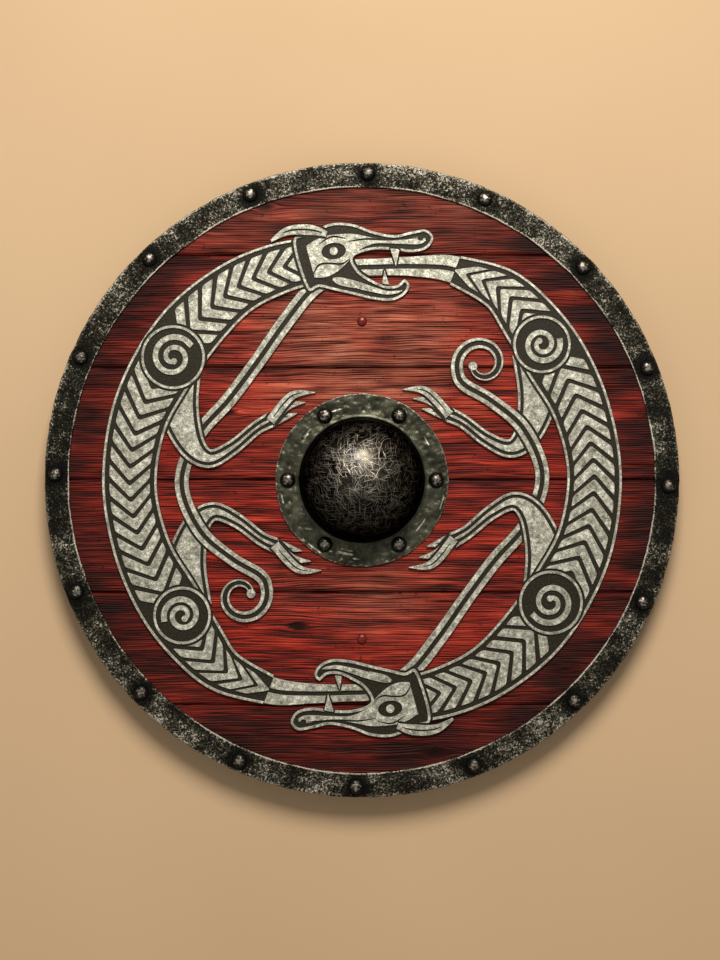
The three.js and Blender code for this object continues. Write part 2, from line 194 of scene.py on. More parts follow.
# %% Smooth noise
def noise(x, y, seed):
    """Smooth noise from 0 to 1, with features about one unit wide."""
    table = np.random.default_rng(seed).random((128, 128))
    column, row = np.floor(x).astype(int), np.floor(y).astype(int)
    u, v = x - column, y - row
    u, v = u * u * (3 - 2 * u), v * v * (3 - 2 * v)
    a, b = table[column % 128, row % 128], table[(column + 1) % 128, row % 128]
    c, d = table[column % 128, (row + 1) % 128], table[(column + 1) % 128, (row + 1) % 128]
    return (a * (1 - u) + b * u) * (1 - v) + (c * (1 - u) + d * u) * v


# %% [markdown]
# ## Materials
# Each one is named for the real material and for how its surface was made. Colours are
# written as they look, and turned to light once, here. A pattern's scale comes from the
# distance between its marks in millimetres, and a grain is also drawn out one way. Real
# specks, pits and scratches are often finer than a render can show, so they are drawn as
# coarse as they need to be to show.


# %% Colours and nodes
def light(hex_colour):
    """An sRGB hex colour as linear light, opaque."""
    channels = [int(hex_colour[i : i + 2], 16) / 255 for i in (1, 3, 5)]
    linear = [c / 12.92 if c <= 0.04045 else ((c + 0.055) / 1.055) ** 2.4 for c in channels]
    return (*linear, 1.0)


def spaced(millimetres):
    """The scale of a pattern whose marks are this far apart: so many to the metre."""
    return round(1 / (millimetres * MM))


def material(name):
    made = bpy.data.materials.new(name)
    made.use_nodes = True
    return made, made.node_tree, made.node_tree.nodes["Principled BSDF"]


def node(tree, kind, inputs=None, stops=None, **settings):
    """Adds a node, sets it, and sets or links its inputs. stops fills a colour ramp."""
    made = tree.nodes.new(kind)
    for name, value in settings.items():
        setattr(made, name, value)
    if stops:
        elements = made.color_ramp.elements
        while len(elements) < len(stops):
            elements.new(0.5)
        for element, (position, colour) in zip(elements, stops):
            element.position = position
            element.color = light(colour) if isinstance(colour, str) else (colour,) * 3 + (1.0,)
    for key, value in (inputs or {}).items():
        join(tree, made.inputs[key], value)
    return made


def join(tree, socket, value):
    """Links a node or a socket to an input, or sets the input to a plain value."""
    if isinstance(value, bpy.types.NodeSocket):
        tree.links.new(value, socket)
    elif isinstance(value, bpy.types.Node):
        tree.links.new(next(output for output in value.outputs if output.enabled), socket)
    else:
        socket.default_value = value


# %% [markdown]
# ### Wire-brushed pine, stained red
# Brushing wears the soft summer wood away and leaves the hard lines standing. The stain
# then sits dark in the hollows and thin on the lines, and a satin oil over it takes a soft
# shine. The boards are scorched darker beside the rim and along their joints, with a few
# black pits. Pale, almost pink patches lie above and below the boss and along the top edge:
# partly stain rubbed thin, partly a painted sheen. The fibres are noise drawn out along the
# grain, 19 mm long and 0.7 mm apart; the lines themselves are in the mesh, and come as attributes.

# %% The boards' finish
BOARDS, tree, shader = material("pine_wire_brushed_red_stain")
where = node(tree, "ShaderNodeTexCoord").outputs["Object"]
grain = node(tree, "ShaderNodeAttribute", attribute_name="ridge").outputs["Fac"]
shade = node(tree, "ShaderNodeAttribute", attribute_name="scorch").outputs["Fac"]
# rubbed: stain rubbed thin, together with a painted sheen above and below the boss and along the top edge.
rubbed = node(tree, "ShaderNodeAttribute", attribute_name="rubbed").outputs["Fac"]
stretched = node(tree, "ShaderNodeMapping", {"Vector": where, "Scale": (20, 520, 60)})
fine = node(
    tree, "ShaderNodeTexNoise", {"Vector": stretched, "Scale": 2.6, "Detail": 7, "Roughness": 0.75}
).outputs["Fac"]
blotch = node(
    tree, "ShaderNodeTexNoise", {"Vector": where, "Scale": spaced(62), "Detail": 5, "Roughness": 0.6}
).outputs["Fac"]
pits = node(
    tree, "ShaderNodeTexNoise", {"Vector": where, "Scale": spaced(6.67), "Detail": 4, "Roughness": 0.75}
).outputs["Fac"]
fibres = node(tree, "ShaderNodeMath", {0: fine, 1: 0.5}, operation="MULTIPLY")
lines = node(tree, "ShaderNodeMath", {0: grain, 1: 0.62, 2: fibres}, operation="MULTIPLY_ADD")
deep = node(
    tree,
    "ShaderNodeValToRGB",
    {"Fac": lines},
    stops=[(0.25, "#0E0302"), (0.42, "#3A0B07"), (0.58, "#78180F"), (0.75, "#A6291A"), (0.9, "#CB4B35")],
)
thin = node(
    tree,
    "ShaderNodeValToRGB",
    {"Fac": lines},
    stops=[(0.25, "#1E0906"), (0.42, "#56241A"), (0.6, "#93503D"), (0.78, "#B26E57"), (0.95, "#CB9776")],
)
patches = node(
    tree,
    "ShaderNodeMapRange",
    {"Value": blotch, "From Min": 0.38, "From Max": 0.62, "To Min": 0.55, "To Max": 1.3},
)
# The pale stain shows where the stain is rubbed thin and where a painted sheen lies.
thin_stain_and_sheen = node(tree, "ShaderNodeMath", {0: rubbed, 1: patches}, operation="MULTIPLY", use_clamp=True)
stained = node(tree, "ShaderNodeMix", {"Factor": thin_stain_and_sheen, 6: deep, 7: thin}, data_type="RGBA")
pitted = node(tree, "ShaderNodeValToRGB", {"Fac": pits}, stops=[(0.30, 0.2), (0.39, 1.0)])
dark = node(
    tree, "ShaderNodeMix", {"Factor": 1.0, 6: stained, 7: pitted}, data_type="RGBA", blend_type="MULTIPLY"
)
scorched = node(tree, "ShaderNodeMix", {"Factor": shade, 6: dark, 7: light("#0C0302")}, data_type="RGBA")
join(tree, shader.inputs["Base Color"], scorched)
rough = node(tree, "ShaderNodeMapRange", {"Value": fine, "To Min": 0.46, "To Max": 0.7})
join(tree, shader.inputs["Roughness"], rough)
shader.inputs["Specular IOR Level"].default_value = 0.12
relief = node(tree, "ShaderNodeBump", {"Height": lines, "Strength": 0.6, "Distance": 0.5 * MM})
join(tree, shader.inputs["Normal"], relief)

# %% [markdown]
# ### Carved wood, silver over charcoal
# The overlay was carved, blackened all over, and its high faces then rubbed with silver.
# So the silver follows the height, thins out in grains at the edges of the cuts,
# and shows a fine tooth. The upper walls just below each top face are near white, partly
# worn edges and partly a painted highlight. The cuts stay charcoal, darkened in their corners
# by painted shade from ambient occlusion, which tells how shut in each point is by the walls
# round it, and lightened in their open middles.

# %% The overlay's finish
CARVED, tree, shader = material("carved_wood_silver_rubbed_over_charcoal")
where = node(tree, "ShaderNodeTexCoord").outputs["Object"]
up = node(tree, "ShaderNodeSeparateXYZ", {0: where}).outputs["Z"]
grit = node(
    tree, "ShaderNodeTexNoise", {"Vector": where, "Scale": spaced(1.429), "Detail": 6, "Roughness": 0.72}
).outputs["Fac"]
grains = node(
    tree, "ShaderNodeTexNoise", {"Vector": where, "Scale": spaced(3.85), "Detail": 4, "Roughness": 0.65}
).outputs["Fac"]
cloud = node(
    tree, "ShaderNodeTexNoise", {"Vector": where, "Scale": spaced(9.1), "Detail": 4, "Roughness": 0.6}
).outputs["Fac"]
cut_floor, silver_from = Z_GROUND + 0.2 * MM, Z_CARVED - 0.6 * MM
lifted = node(tree, "ShaderNodeMapRange", {"Value": up, "From Min": cut_floor, "From Max": silver_from})
top, below_top = Z_CARVED - 0.05 * MM, Z_CARVED - 0.3 * MM
# The band just under each top face turns near white: worn edges and a painted highlight.
arris = node(tree, "ShaderNodeMapRange", {"Value": up, "From Min": top, "From Max": below_top})
rubbed = node(tree, "ShaderNodeMath", {0: grit, 1: 0.7, 2: lifted}, operation="MULTIPLY_ADD")
silver = node(tree, "ShaderNodeValToRGB", {"Fac": rubbed}, stops=[(0.66, 0.0), (0.98, 1.0)])
mixed = node(tree, "ShaderNodeMath", {0: grains, 1: grit}, operation="ADD")
soft = node(tree, "ShaderNodeMath", {0: cloud, 1: 0.35}, operation="MULTIPLY")
mottle = node(tree, "ShaderNodeMath", {0: mixed, 1: 0.7, 2: soft}, operation="MULTIPLY_ADD")
bright = node(
    tree,
    "ShaderNodeValToRGB",
    {"Fac": mottle},
    stops=[(0.67, "#53534A"), (0.8, "#919386"), (0.93, "#BABDAF"), (1.06, "#EAEDE0")],
)
black = node(
    tree, "ShaderNodeValToRGB", {"Fac": grit}, stops=[(0.34, "#070602"), (0.54, "#1A180D"), (0.72, "#3D3A26")]
)
edge_wear_and_highlight = node(tree, "ShaderNodeMix", {"Factor": arris, 6: bright, 7: light("#EAE7DF")}, data_type="RGBA")
# Painted shade: ambient occlusion darkens the charcoal in the corners of the cuts and lightens their open
# middles.
corner = node(
    tree, "ShaderNodeAmbientOcclusion", {"Distance": 2.4 * MM}, samples=6, only_local=True
).outputs["AO"]
painted_corner_shade = node(
    tree,
    "ShaderNodeMapRange",
    {"Value": corner, "From Min": 0.35, "From Max": 0.75, "To Min": 0.25, "To Max": 1.5},
).outputs[0]
charcoal_with_painted_shade = node(tree, "ShaderNodeVectorMath", {0: black.outputs["Color"], 1: painted_corner_shade}, operation="MULTIPLY")
colour = node(tree, "ShaderNodeMix", {"Factor": silver, 6: charcoal_with_painted_shade.outputs[0], 7: edge_wear_and_highlight}, data_type="RGBA")
join(tree, shader.inputs["Base Color"], colour)
metal = node(tree, "ShaderNodeMath", {0: silver, 1: 0.5}, operation="MULTIPLY")
join(tree, shader.inputs["Metallic"], metal)
rough = node(tree, "ShaderNodeMapRange", {"Value": grains, "To Min": 0.34, "To Max": 0.58})
join(tree, shader.inputs["Roughness"], rough)
shader.inputs["Specular IOR Level"].default_value = 0.25
tooth = node(tree, "ShaderNodeMath", {0: grit, 1: grains}, operation="ADD")
relief = node(tree, "ShaderNodeBump", {"Height": tooth, "Strength": 0.6, "Distance": 0.35 * MM})
join(tree, shader.inputs["Normal"], relief)

# %% [markdown]
# ### Blackened steel, dry-brushed with silver
# The rim's steel is blackened and pitted, and silver dragged over it catches only the high
# specks. It is darker round the rivets. A painted highlight runs along its inner lip, and its
# face is painted lighter towards the top, where the light falls. Real specks are finer
# than this, so they are drawn 2 mm apart in order to show.

# %% The rim's finish
RIM, tree, shader = material("steel_blackened_dry_brushed_silver")
where = node(tree, "ShaderNodeTexCoord").outputs["Object"]
# wear_and_painted_light: real wear, and on the rim and the dome also painted highlight and shade.
wear_and_painted_light = node(tree, "ShaderNodeAttribute", attribute_name="wear_and_painted_light").outputs["Fac"]
bend = node(
    tree, "ShaderNodeTexNoise", {"Vector": where, "Scale": spaced(6.25), "Detail": 2}
).outputs["Color"]
bent = node(
    tree, "ShaderNodeVectorMath", {0: bend, 1: (6 * MM,) * 3, 2: where}, operation="MULTIPLY_ADD"
)
speck = node(
    tree, "ShaderNodeTexNoise", {"Vector": bent, "Scale": spaced(2), "Detail": 8, "Roughness": 0.74}
).outputs["Fac"]
patch = node(
    tree, "ShaderNodeTexNoise", {"Vector": where, "Scale": spaced(24), "Detail": 6, "Roughness": 0.7}
).outputs["Fac"]
amount = node(tree, "ShaderNodeMath", {0: patch, 1: 0.55, 2: wear_and_painted_light}, operation="MULTIPLY_ADD")
full = node(tree, "ShaderNodeMath", {0: speck, 1: 1.2, 2: amount}, operation="MULTIPLY_ADD")
level = node(tree, "ShaderNodeMath", {0: full, 1: 0.09}, operation="SUBTRACT")
brushed = node(
    tree,
    "ShaderNodeValToRGB",
    {"Fac": level},
    stops=[(0.69, "#020201"), (0.80, "#131209"), (0.88, "#37362B"), (0.94, "#716F64"), (0.985, "#C4C0B3")],
)
join(tree, shader.inputs["Base Color"], brushed)
shown = node(tree, "ShaderNodeMapRange", {"Value": level, "From Min": 0.85, "From Max": 1.0}).outputs[0]
metal = node(tree, "ShaderNodeMapRange", {"Value": shown, "To Min": 0.0, "To Max": 0.75})
join(tree, shader.inputs["Metallic"], metal)
rough = node(tree, "ShaderNodeMapRange", {"Value": speck, "To Min": 0.34, "To Max": 0.62})
join(tree, shader.inputs["Roughness"], rough)
shader.inputs["Specular IOR Level"].default_value = 0.1
relief = node(tree, "ShaderNodeBump", {"Height": level, "Strength": 1.0, "Distance": 0.9 * MM})
join(tree, shader.inputs["Normal"], relief)

# %% [markdown]
# ### Hammered steel, dark and worn bright
# The boss's flange is beaten dark steel with a green cast. Bright specks over its hammer
# marks are painted glints, a painted highlight, and its gouges and outer edge are worn bright.

# %% The flange's finish
FLANGE, tree, shader = material("steel_hammered_dark_worn")
where = node(tree, "ShaderNodeTexCoord").outputs["Object"]
wear_and_painted_light = node(tree, "ShaderNodeAttribute", attribute_name="wear_and_painted_light").outputs["Fac"]
speck = node(
    tree, "ShaderNodeTexNoise", {"Vector": where, "Scale": spaced(3.03), "Detail": 6, "Roughness": 0.7}
).outputs["Fac"]
dints = node(
    tree, "ShaderNodeTexVoronoi", {"Vector": where, "Scale": spaced(6.67)}, feature="SMOOTH_F1"
).outputs["Distance"]
patch = node(
    tree, "ShaderNodeTexNoise", {"Vector": where, "Scale": spaced(14.3), "Detail": 5, "Roughness": 0.65}
).outputs["Fac"]
# Bright specks from the noise are painted glints; the worn places come from the attribute.
level = node(tree, "ShaderNodeMath", {0: speck, 1: wear_and_painted_light}, operation="ADD")
shown = node(tree, "ShaderNodeValToRGB", {"Fac": level}, stops=[(0.66, 0.0), (0.95, 1.0)])
dull = node(
    tree, "ShaderNodeValToRGB", {"Fac": patch}, stops=[(0.3, "#1F2018"), (0.5, "#414336"), (0.72, "#646656")]
)
colour = node(tree, "ShaderNodeMix", {"Factor": shown, 6: dull, 7: light("#C4C2B2")}, data_type="RGBA")
join(tree, shader.inputs["Base Color"], colour)
shader.inputs["Metallic"].default_value = 0.75
rough = node(tree, "ShaderNodeMapRange", {"Value": speck, "To Min": 0.24, "To Max": 0.5})
join(tree, shader.inputs["Roughness"], rough)
beaten = node(tree, "ShaderNodeMath", {0: speck, 1: 0.35, 2: dints}, operation="MULTIPLY_ADD")
relief = node(tree, "ShaderNodeBump", {"Height": beaten, "Strength": 0.8, "Distance": 1.2 * MM})
join(tree, shader.inputs["Normal"], relief)

# %% [markdown]
# ### Near-black steel, scratched all over
# The dome was blackened and then scoured, so it is covered with short fine silver
# scratches in every direction. They crowd on its top and thin out towards its foot. A soft
# haze lightens the steel towards the crown as a painted highlight, the upper side is painted
# lighter and the foot darker as painted light and shade, and patches are tinted brown-red,
# as a painted reflection, and blue.
# Each set of scratches is where the dome cuts a stack of thin sheets of noise, and ten stacks
# lean ten ways. A real scratch is a hair wide, so these are drawn a few times too wide.

# %% The dome's finish
DOME, tree, shader = material("steel_near_black_scoured")
where = node(tree, "ShaderNodeTexCoord").outputs["Object"]
wear_and_painted_light = node(tree, "ShaderNodeAttribute", attribute_name="wear_and_painted_light").outputs["Fac"]
bend = node(
    tree, "ShaderNodeTexNoise", {"Vector": where, "Scale": spaced(18.2), "Detail": 2}
).outputs["Color"]
bent = node(
    tree, "ShaderNodeVectorMath", {0: bend, 1: (7 * MM,) * 3, 2: where}, operation="MULTIPLY_ADD"
)
SHEET = (20 * MM, 0.4 * MM, 20 * MM)
scratches = None
for turn in range(10):
    start = (0.31 * turn + 0.1, 0.17 * turn * turn + 0.3, 0.0)
    turned = (0.85 * math.sin(2.4 * turn), 0, 1.95 * turn)
    stack = {"Vector": bent, "Location": start, "Rotation": turned, "Scale": SHEET}
    mapped = node(tree, "ShaderNodeMapping", stack, vector_type="TEXTURE")
    lines = node(
        tree, "ShaderNodeTexNoise", {"Vector": mapped, "Scale": 1.0, "Detail": 1.5, "Roughness": 0.5}
    ).outputs["Fac"]
    thin = node(tree, "ShaderNodeMapRange", {"Value": lines, "From Min": 0.672, "From Max": 0.735}).outputs[0]
    if scratches is None:
        scratches = thin
    else:
        scratches = node(tree, "ShaderNodeMath", {0: scratches, 1: thin}, operation="MAXIMUM").outputs[0]
seen = node(tree, "ShaderNodeMath", {0: scratches, 1: wear_and_painted_light}, operation="MULTIPLY")
# A painted highlight: the haze, scaled by the attribute, lightens the steel in a soft glow towards the crown.
haze = node(
    tree, "ShaderNodeTexNoise", {"Vector": where, "Scale": spaced(16.7), "Detail": 6, "Roughness": 0.7}
).outputs["Fac"]
painted_glow = node(tree, "ShaderNodeMath", {0: haze, 1: wear_and_painted_light}, operation="MULTIPLY")
steel = node(
    tree,
    "ShaderNodeValToRGB",
    {"Fac": painted_glow},
    stops=[(0.05, "#050403"), (0.28, "#15120F"), (0.46, "#35322C"), (0.62, "#5E5B52")],
)
# Brown-red patches are a painted reflection; blue patches are a tint.
tint = node(tree, "ShaderNodeTexNoise", {"Vector": where, "Scale": spaced(26), "Detail": 3}).outputs["Fac"]
tinted = node(
    tree,
    "ShaderNodeValToRGB",
    {"Fac": tint},
    stops=[(0.34, "#8A6252"), (0.45, "#FFFFFF"), (0.58, "#FFFFFF"), (0.68, "#6C86C0")],
)
steel_with_tints = node(
    tree, "ShaderNodeMix", {"Factor": 0.8, 6: steel, 7: tinted}, data_type="RGBA", blend_type="MULTIPLY"
)
colour = node(tree, "ShaderNodeMix", {"Factor": seen, 6: steel_with_tints, 7: light("#E2DDCE")}, data_type="RGBA")
join(tree, shader.inputs["Base Color"], colour)
shader.inputs["Metallic"].default_value = 1.0
shader.inputs["Specular Tint"].default_value = (0.25, 0.25, 0.25, 1.0)
rough = node(tree, "ShaderNodeMapRange", {"Value": scratches, "To Min": 0.32, "To Max": 0.5})
join(tree, shader.inputs["Roughness"], rough)
relief = node(tree, "ShaderNodeBump", {"Height": scratches, "Strength": 0.35, "Distance": 0.2 * MM})
join(tree, shader.inputs["Normal"], relief)

# %% [markdown]
# ### Dark steel rivets, red-painted nails and bare wood
# The rivets are blackened and rubbed bright on top. The two nails that hold the grip were
# painted over with the boards. Behind, the boards are stained dark and the grip is oiled.
# Their grain is noise drawn out along the wood, about 30 to 40 mm long and 1.5 to 2 mm apart.

# %% Rivets, nails and bare wood
RIVETS, tree, shader = material("steel_rivet_rubbed")
where = node(tree, "ShaderNodeTexCoord").outputs["Object"]
wear_and_painted_light = node(tree, "ShaderNodeAttribute", attribute_name="wear_and_painted_light").outputs["Fac"]
speck = node(
    tree, "ShaderNodeTexNoise", {"Vector": where, "Scale": spaced(2.38), "Detail": 5, "Roughness": 0.7}
)
level = node(tree, "ShaderNodeMath", {0: speck.outputs["Fac"], 1: wear_and_painted_light}, operation="ADD")
shown = node(tree, "ShaderNodeValToRGB", {"Fac": level}, stops=[(0.85, 0.0), (1.15, 1.0)])
colour = node(
    tree, "ShaderNodeMix", {"Factor": shown, 6: light("#1A1814"), 7: light("#98948A")}, data_type="RGBA"
)
join(tree, shader.inputs["Base Color"], colour)
shader.inputs["Metallic"].default_value = 0.8
rough = node(tree, "ShaderNodeMapRange", {"Value": speck.outputs["Fac"], "To Min": 0.25, "To Max": 0.5})
join(tree, shader.inputs["Roughness"], rough)
relief = node(tree, "ShaderNodeBump", {"Height": speck.outputs["Fac"], "Strength": 0.4, "Distance": 0.3 * MM})
join(tree, shader.inputs["Normal"], relief)

NAILS, tree, shader = material("steel_nail_painted_red")
where = node(tree, "ShaderNodeTexCoord").outputs["Object"]
speck = node(tree, "ShaderNodeTexNoise", {"Vector": where, "Scale": spaced(2), "Detail": 4})
colour = node(tree, "ShaderNodeValToRGB", {"Fac": speck}, stops=[(0.3, "#420907"), (0.6, "#74100D")])
join(tree, shader.inputs["Base Color"], colour)
shader.inputs["Roughness"].default_value = 0.35
relief = node(tree, "ShaderNodeBump", {"Height": speck.outputs["Fac"], "Strength": 0.3, "Distance": 0.2 * MM})
join(tree, shader.inputs["Normal"], relief)


def planed_wood(name, stretch, dark, pale):
    made, tree, shader = material(name)
    where = node(tree, "ShaderNodeTexCoord").outputs["Object"]
    stretched = node(tree, "ShaderNodeMapping", {"Vector": where, "Scale": stretch})
    rings = node(
        tree,
        "ShaderNodeTexNoise",
        {"Vector": stretched, "Scale": 3.0, "Detail": 7, "Roughness": 0.62, "Distortion": 0.4},
    )
    colour = node(tree, "ShaderNodeValToRGB", {"Fac": rings}, stops=[(0.28, dark), (0.7, pale)])
    join(tree, shader.inputs["Base Color"], colour)
    rough = node(tree, "ShaderNodeMapRange", {"Value": rings.outputs["Fac"], "To Min": 0.5, "To Max": 0.72})
    join(tree, shader.inputs["Roughness"], rough)
    relief = node(
        tree, "ShaderNodeBump", {"Height": rings.outputs["Fac"], "Strength": 0.4, "Distance": 0.4 * MM}
    )
    join(tree, shader.inputs["Normal"], relief)
    return made


GRIP_WOOD = planed_wood("ash_planed_oiled", (220, 10, 220), "#6B4628", "#A87D50")
BACK_WOOD = planed_wood("pine_planed_dark_stain", (8, 190, 60), "#3A2316", "#6E472C")
print("materials", [m.name for m in bpy.data.materials])

# %% [markdown]
# ## Floor, light and camera
# A plain pale floor lies where the grip rests. One broad soft light stands beyond the top
# of the shield, as a window would, and a weaker one fills in from the other side. The
# camera hangs above the boss, 1.9 mm to its left, and looks straight down, with the top of
# the face at the top of the picture.

# %% Floor, light and camera
bpy.ops.object.select_all(action="DESELECT")
FLOOR, tree, shader = material("floor_warm_plaster")
where = node(tree, "ShaderNodeTexCoord").outputs["Object"]
cloud = node(tree, "ShaderNodeTexNoise", {"Vector": where, "Scale": 2.5, "Detail": 3})
colour = node(tree, "ShaderNodeValToRGB", {"Fac": cloud}, stops=[(0.3, "#C3A885"), (0.7, "#C9AE8B")])
join(tree, shader.inputs["Base Color"], colour)
shader.inputs["Roughness"].default_value = 0.9
floor = primitive("plane", "floor", size=60)
floor.data.materials.append(FLOOR)


LAMPS_AIM = mathutils.Vector((0, 0, 0.03))


def lamp(name, position, size, power, colour):
    """A round, soft lamp that points at the shield."""
    made = bpy.data.lights.new(name, "AREA")
    made.shape = "DISK"
    made.size, made.energy, made.color = size, power, light(colour)[:3]
    thing = bpy.data.objects.new(name, made)
    bpy.context.collection.objects.link(thing)
    thing.location = position
    away = mathutils.Vector(position) - LAMPS_AIM
    thing.rotation_euler = away.to_track_quat("Z", "Y").to_euler()


lamp("window", (0.1, 1.35, 1.6), 0.9, 50, "#FFF5EA")
lamp("fill", (-0.9, -1.0, 1.9), 1.8, 4, "#FFF3E8")
world = bpy.data.worlds.new("room")
world.use_nodes = True
world.node_tree.nodes["Background"].inputs["Color"].default_value = light("#F4EBE0")
world.node_tree.nodes["Background"].inputs["Strength"].default_value = 0.3
bpy.context.scene.world = world
bpy.context.scene.view_settings.view_transform = "Standard"

CAMERA_LEFT, CAMERA_ABOVE_FACE = 1.9 * MM, 1.6
lens = bpy.data.cameras.new("camera")
lens.lens, lens.sensor_fit, lens.sensor_height, lens.sensor_width = 62.5, "VERTICAL", 36, 36
camera = bpy.data.objects.new("camera", lens)
bpy.context.collection.objects.link(camera)
camera.location = (-CAMERA_LEFT, 0, Z_FACE + CAMERA_ABOVE_FACE)
bpy.context.scene.camera = camera
print("camera", tuple(camera.location), "lens", lens.lens)

# %% [markdown]
# ## The boards
# Six pine planks run across the shield. Each was wire-brushed along its grain until the
# hard lines stood up by as much as 0.9 mm, and less on the top one. Its front edges were
# eased, so the joints show as soft grooves. A few knots, each with its place and radius in
# millimetres, push the grain aside. A fine grid gives the face: many rows across the grain,
# fewer along it. Its rows are bent round, the grain is pressed into it, and its border is
# extruded down twice, to the top of a small chamfer and to the plain back. The two middle
# planks are then bored through for the hand.

# %% The boards
BOARD_ROWS, BOARD_COLUMNS = ((290, 110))
KNOTS = {
    1: [(-92, 262, 4)],
    2: [(118, 176, 5), (-205, 128, 3)],
    3: [(-128, 64, 4), (232, 40, 3)],
    4: [(150, -28, 5), (-214, -72, 4)],
    5: [(-60, -140, 4), (196, -182, 3)],
    6: [(70, -262, 5)],
}


def grain_height(x, y, index):
    """How high the brushed grain stands, from 0 in the hollows to 1 on the hard lines."""
    seed = 100 * index
    across = y + 5 * (noise(x / 120, y / 45, seed) - 0.5) + 1.5 * (noise(x / 26, y / 10, seed + 1) - 0.5)
    rings = np.zeros_like(x)
    for knot_x, knot_y, size in KNOTS[index]:
        off_x, off_y = (x - knot_x) / 2.2, y - knot_y
        far = np.maximum(off_x**2 + off_y**2, size**2)
        across = across - off_y * size**2 / far
        rings = np.maximum(rings, np.clip(1.2 - np.sqrt(off_x**2 + off_y**2) / size, 0, 1))
    ring = across / 2.1 + 0.55 * noise(x / 55, across / 6, seed + 5)
    line = np.round(ring)
    strong = np.clip(1.8 * noise(x / 42, line * 3.7, seed + 2) - 0.2, 0, 1)
    hollow = np.exp(-(((ring - line) / 0.24) ** 2)) * strong
    broad = noise(x / 75, across / 2.6, seed + 6)
    narrow = noise(x / 20, across / 0.75, seed + 3)
    dips = noise(x / 34, y / 6.5, seed + 4)
    lines = 0.62 - 0.52 * hollow + 0.3 * (broad - 0.5) + 0.52 * (narrow - 0.5) + 0.3 * (dips - 0.45)
    return np.clip(lines, 0, 1) * (1 - 0.8 * rings)


def oval(x, y, centre_y, half_x, half_y):
    """A soft patch on the upright middle line of the face, 1 at its centre."""
    return np.exp(-((x / half_x) ** 2) - ((y - centre_y) / half_y) ** 2)


def board_wear_and_sheen(x, y, to_edge, index):
    """How scorched each point of a board is, and how pale: partly rubbed thin, partly a painted sheen."""
    from_middle = np.hypot(x, y) / MM
    x, y = x / MM, y / MM
    # Pale patches by the top edge and above and below the boss are partly stain rubbed thin and partly a
    # painted sheen; by the top edge the scorch is also held back, as painted light.
    top_edge_sheen = 0.6 * oval(x, y, 270, 190, 55)
    above_boss_sheen = 0.95 * oval(x, y, 135, 105, 75)
    below_boss_sheen = 0.55 * oval(x, y, -110, 70, 32)
    rubbed = np.clip(np.maximum(np.maximum(above_boss_sheen, below_boss_sheen), top_edge_sheen) + 0.06, 0, 1)
    by_rim = np.clip((from_middle - 180) / 95, 0, 1) ** 1.1 * 0.72
    by_rim *= 1 - 0.9 * top_edge_sheen
    by_joint = np.clip(1 - to_edge / 9, 0, 1) ** 1.6 * 0.6
    smoke = 0.5 * (noise(x / 38, y / 16, index + 60) - 0.35)
    scorch = np.clip(np.maximum(by_rim, by_joint) + smoke * (0.5 + by_rim), 0, 0.9)
    return scorch, rubbed


def board(index):
    middle = (3.5 - index) * BOARD_WIDTH
    half = (BOARD_WIDTH - BOARD_GAP) / 2
    low = max(middle - half, -(BOARD_RADIUS - BOARD_GAP / 2))
    high = min(middle + half, BOARD_RADIUS - BOARD_GAP / 2)
    cells = {"x_subdivisions": BOARD_COLUMNS, "y_subdivisions": BOARD_ROWS}
    piece = primitive("grid", f"plank_{index}", size=2, **cells)
    points = points_of(piece)
    y = low + (points[:, 1] + 1) / 2 * (high - low)
    x = points[:, 0] * np.sqrt(BOARD_RADIUS**2 - y**2)
    ridge = grain_height(x / MM, y / MM, index)
    brushed_away = 0.55 if index == 1 else 0.9
    depth = brushed_away * MM * (1 - ridge)
    to_edge = np.minimum(y - (middle - half), (middle + half) - y) / MM
    wander = 1.6 * (noise(x / MM / 14, y / MM / 14, index + 40) - 0.5)
    eased = 2.2 * MM * np.clip(1 - to_edge / (2.6 + wander), 0, 1) ** 1.5
    points = np.stack([x, y, Z_FACE - depth - eased], axis=1)
    move_points(piece, points)
    scorch, rubbed = board_wear_and_sheen(x, y, to_edge, index)
    # rubbed carries stain rubbed thin together with a painted sheen.
    for name, values in (("ridge", ridge), ("scorch", scorch), ("rubbed", rubbed)):
        paint(piece, name, values)
    open_mesh(piece)
    bpy.ops.mesh.select_all(action="DESELECT")
    bpy.ops.mesh.select_mode(type="EDGE")
    bpy.ops.mesh.select_non_manifold(
        extend=False, use_wire=False, use_multi_face=False, use_non_contiguous=False, use_verts=False
    )
    for drop in (10, 1):
        bpy.ops.mesh.extrude_region_move(TRANSFORM_OT_translate={"value": (0, 0, -drop * MM)})
    close_mesh(tidy=False)
    points = points_of(piece)
    chamfer_height, chamfer_width = 1.4 * MM, 0.8 * MM
    face_count = (BOARD_ROWS + 1) * (BOARD_COLUMNS + 1)
    back = (len(points) + face_count) // 2
    points[face_count:back, 2] = Z_BACK + chamfer_height
    points[back:, 2] = Z_BACK
    points[back:, 1] = middle + (points[back:, 1] - middle) * (1 - chamfer_width / half)
    move_points(piece, points)
    open_mesh(piece)
    pick(lambda p: p.z < Z_BACK + 0.1 * MM, "EDGE")
    bpy.ops.mesh.edge_face_add()
    close_mesh()
    return piece


def bore(piece, radius):
    size = {"radius": radius, "depth": 60 * MM}
    cutter = primitive("cylinder", "bore", vertices=128, location=(0, 0, Z_FACE), **size)
    modify(piece, "BOOLEAN", operation="DIFFERENCE", solver="MANIFOLD", object=cutter)
    bpy.data.objects.remove(cutter)


for index in range(1, 7):
    plank = board(index)
    if index in (3, 4):
        bore(plank, HAND_HOLE_RADIUS)
    finish_in(plank, BOARDS, BACK_WOOD)
    for face in plank.data.polygons:
        face.material_index = 1 if face.normal.z < -0.3 else 0
    smooth(plank, 50)
    place(plank, "red_stained_wood", f"board_{index}")
    print(plank.name, "faces", len(plank.data.polygons))

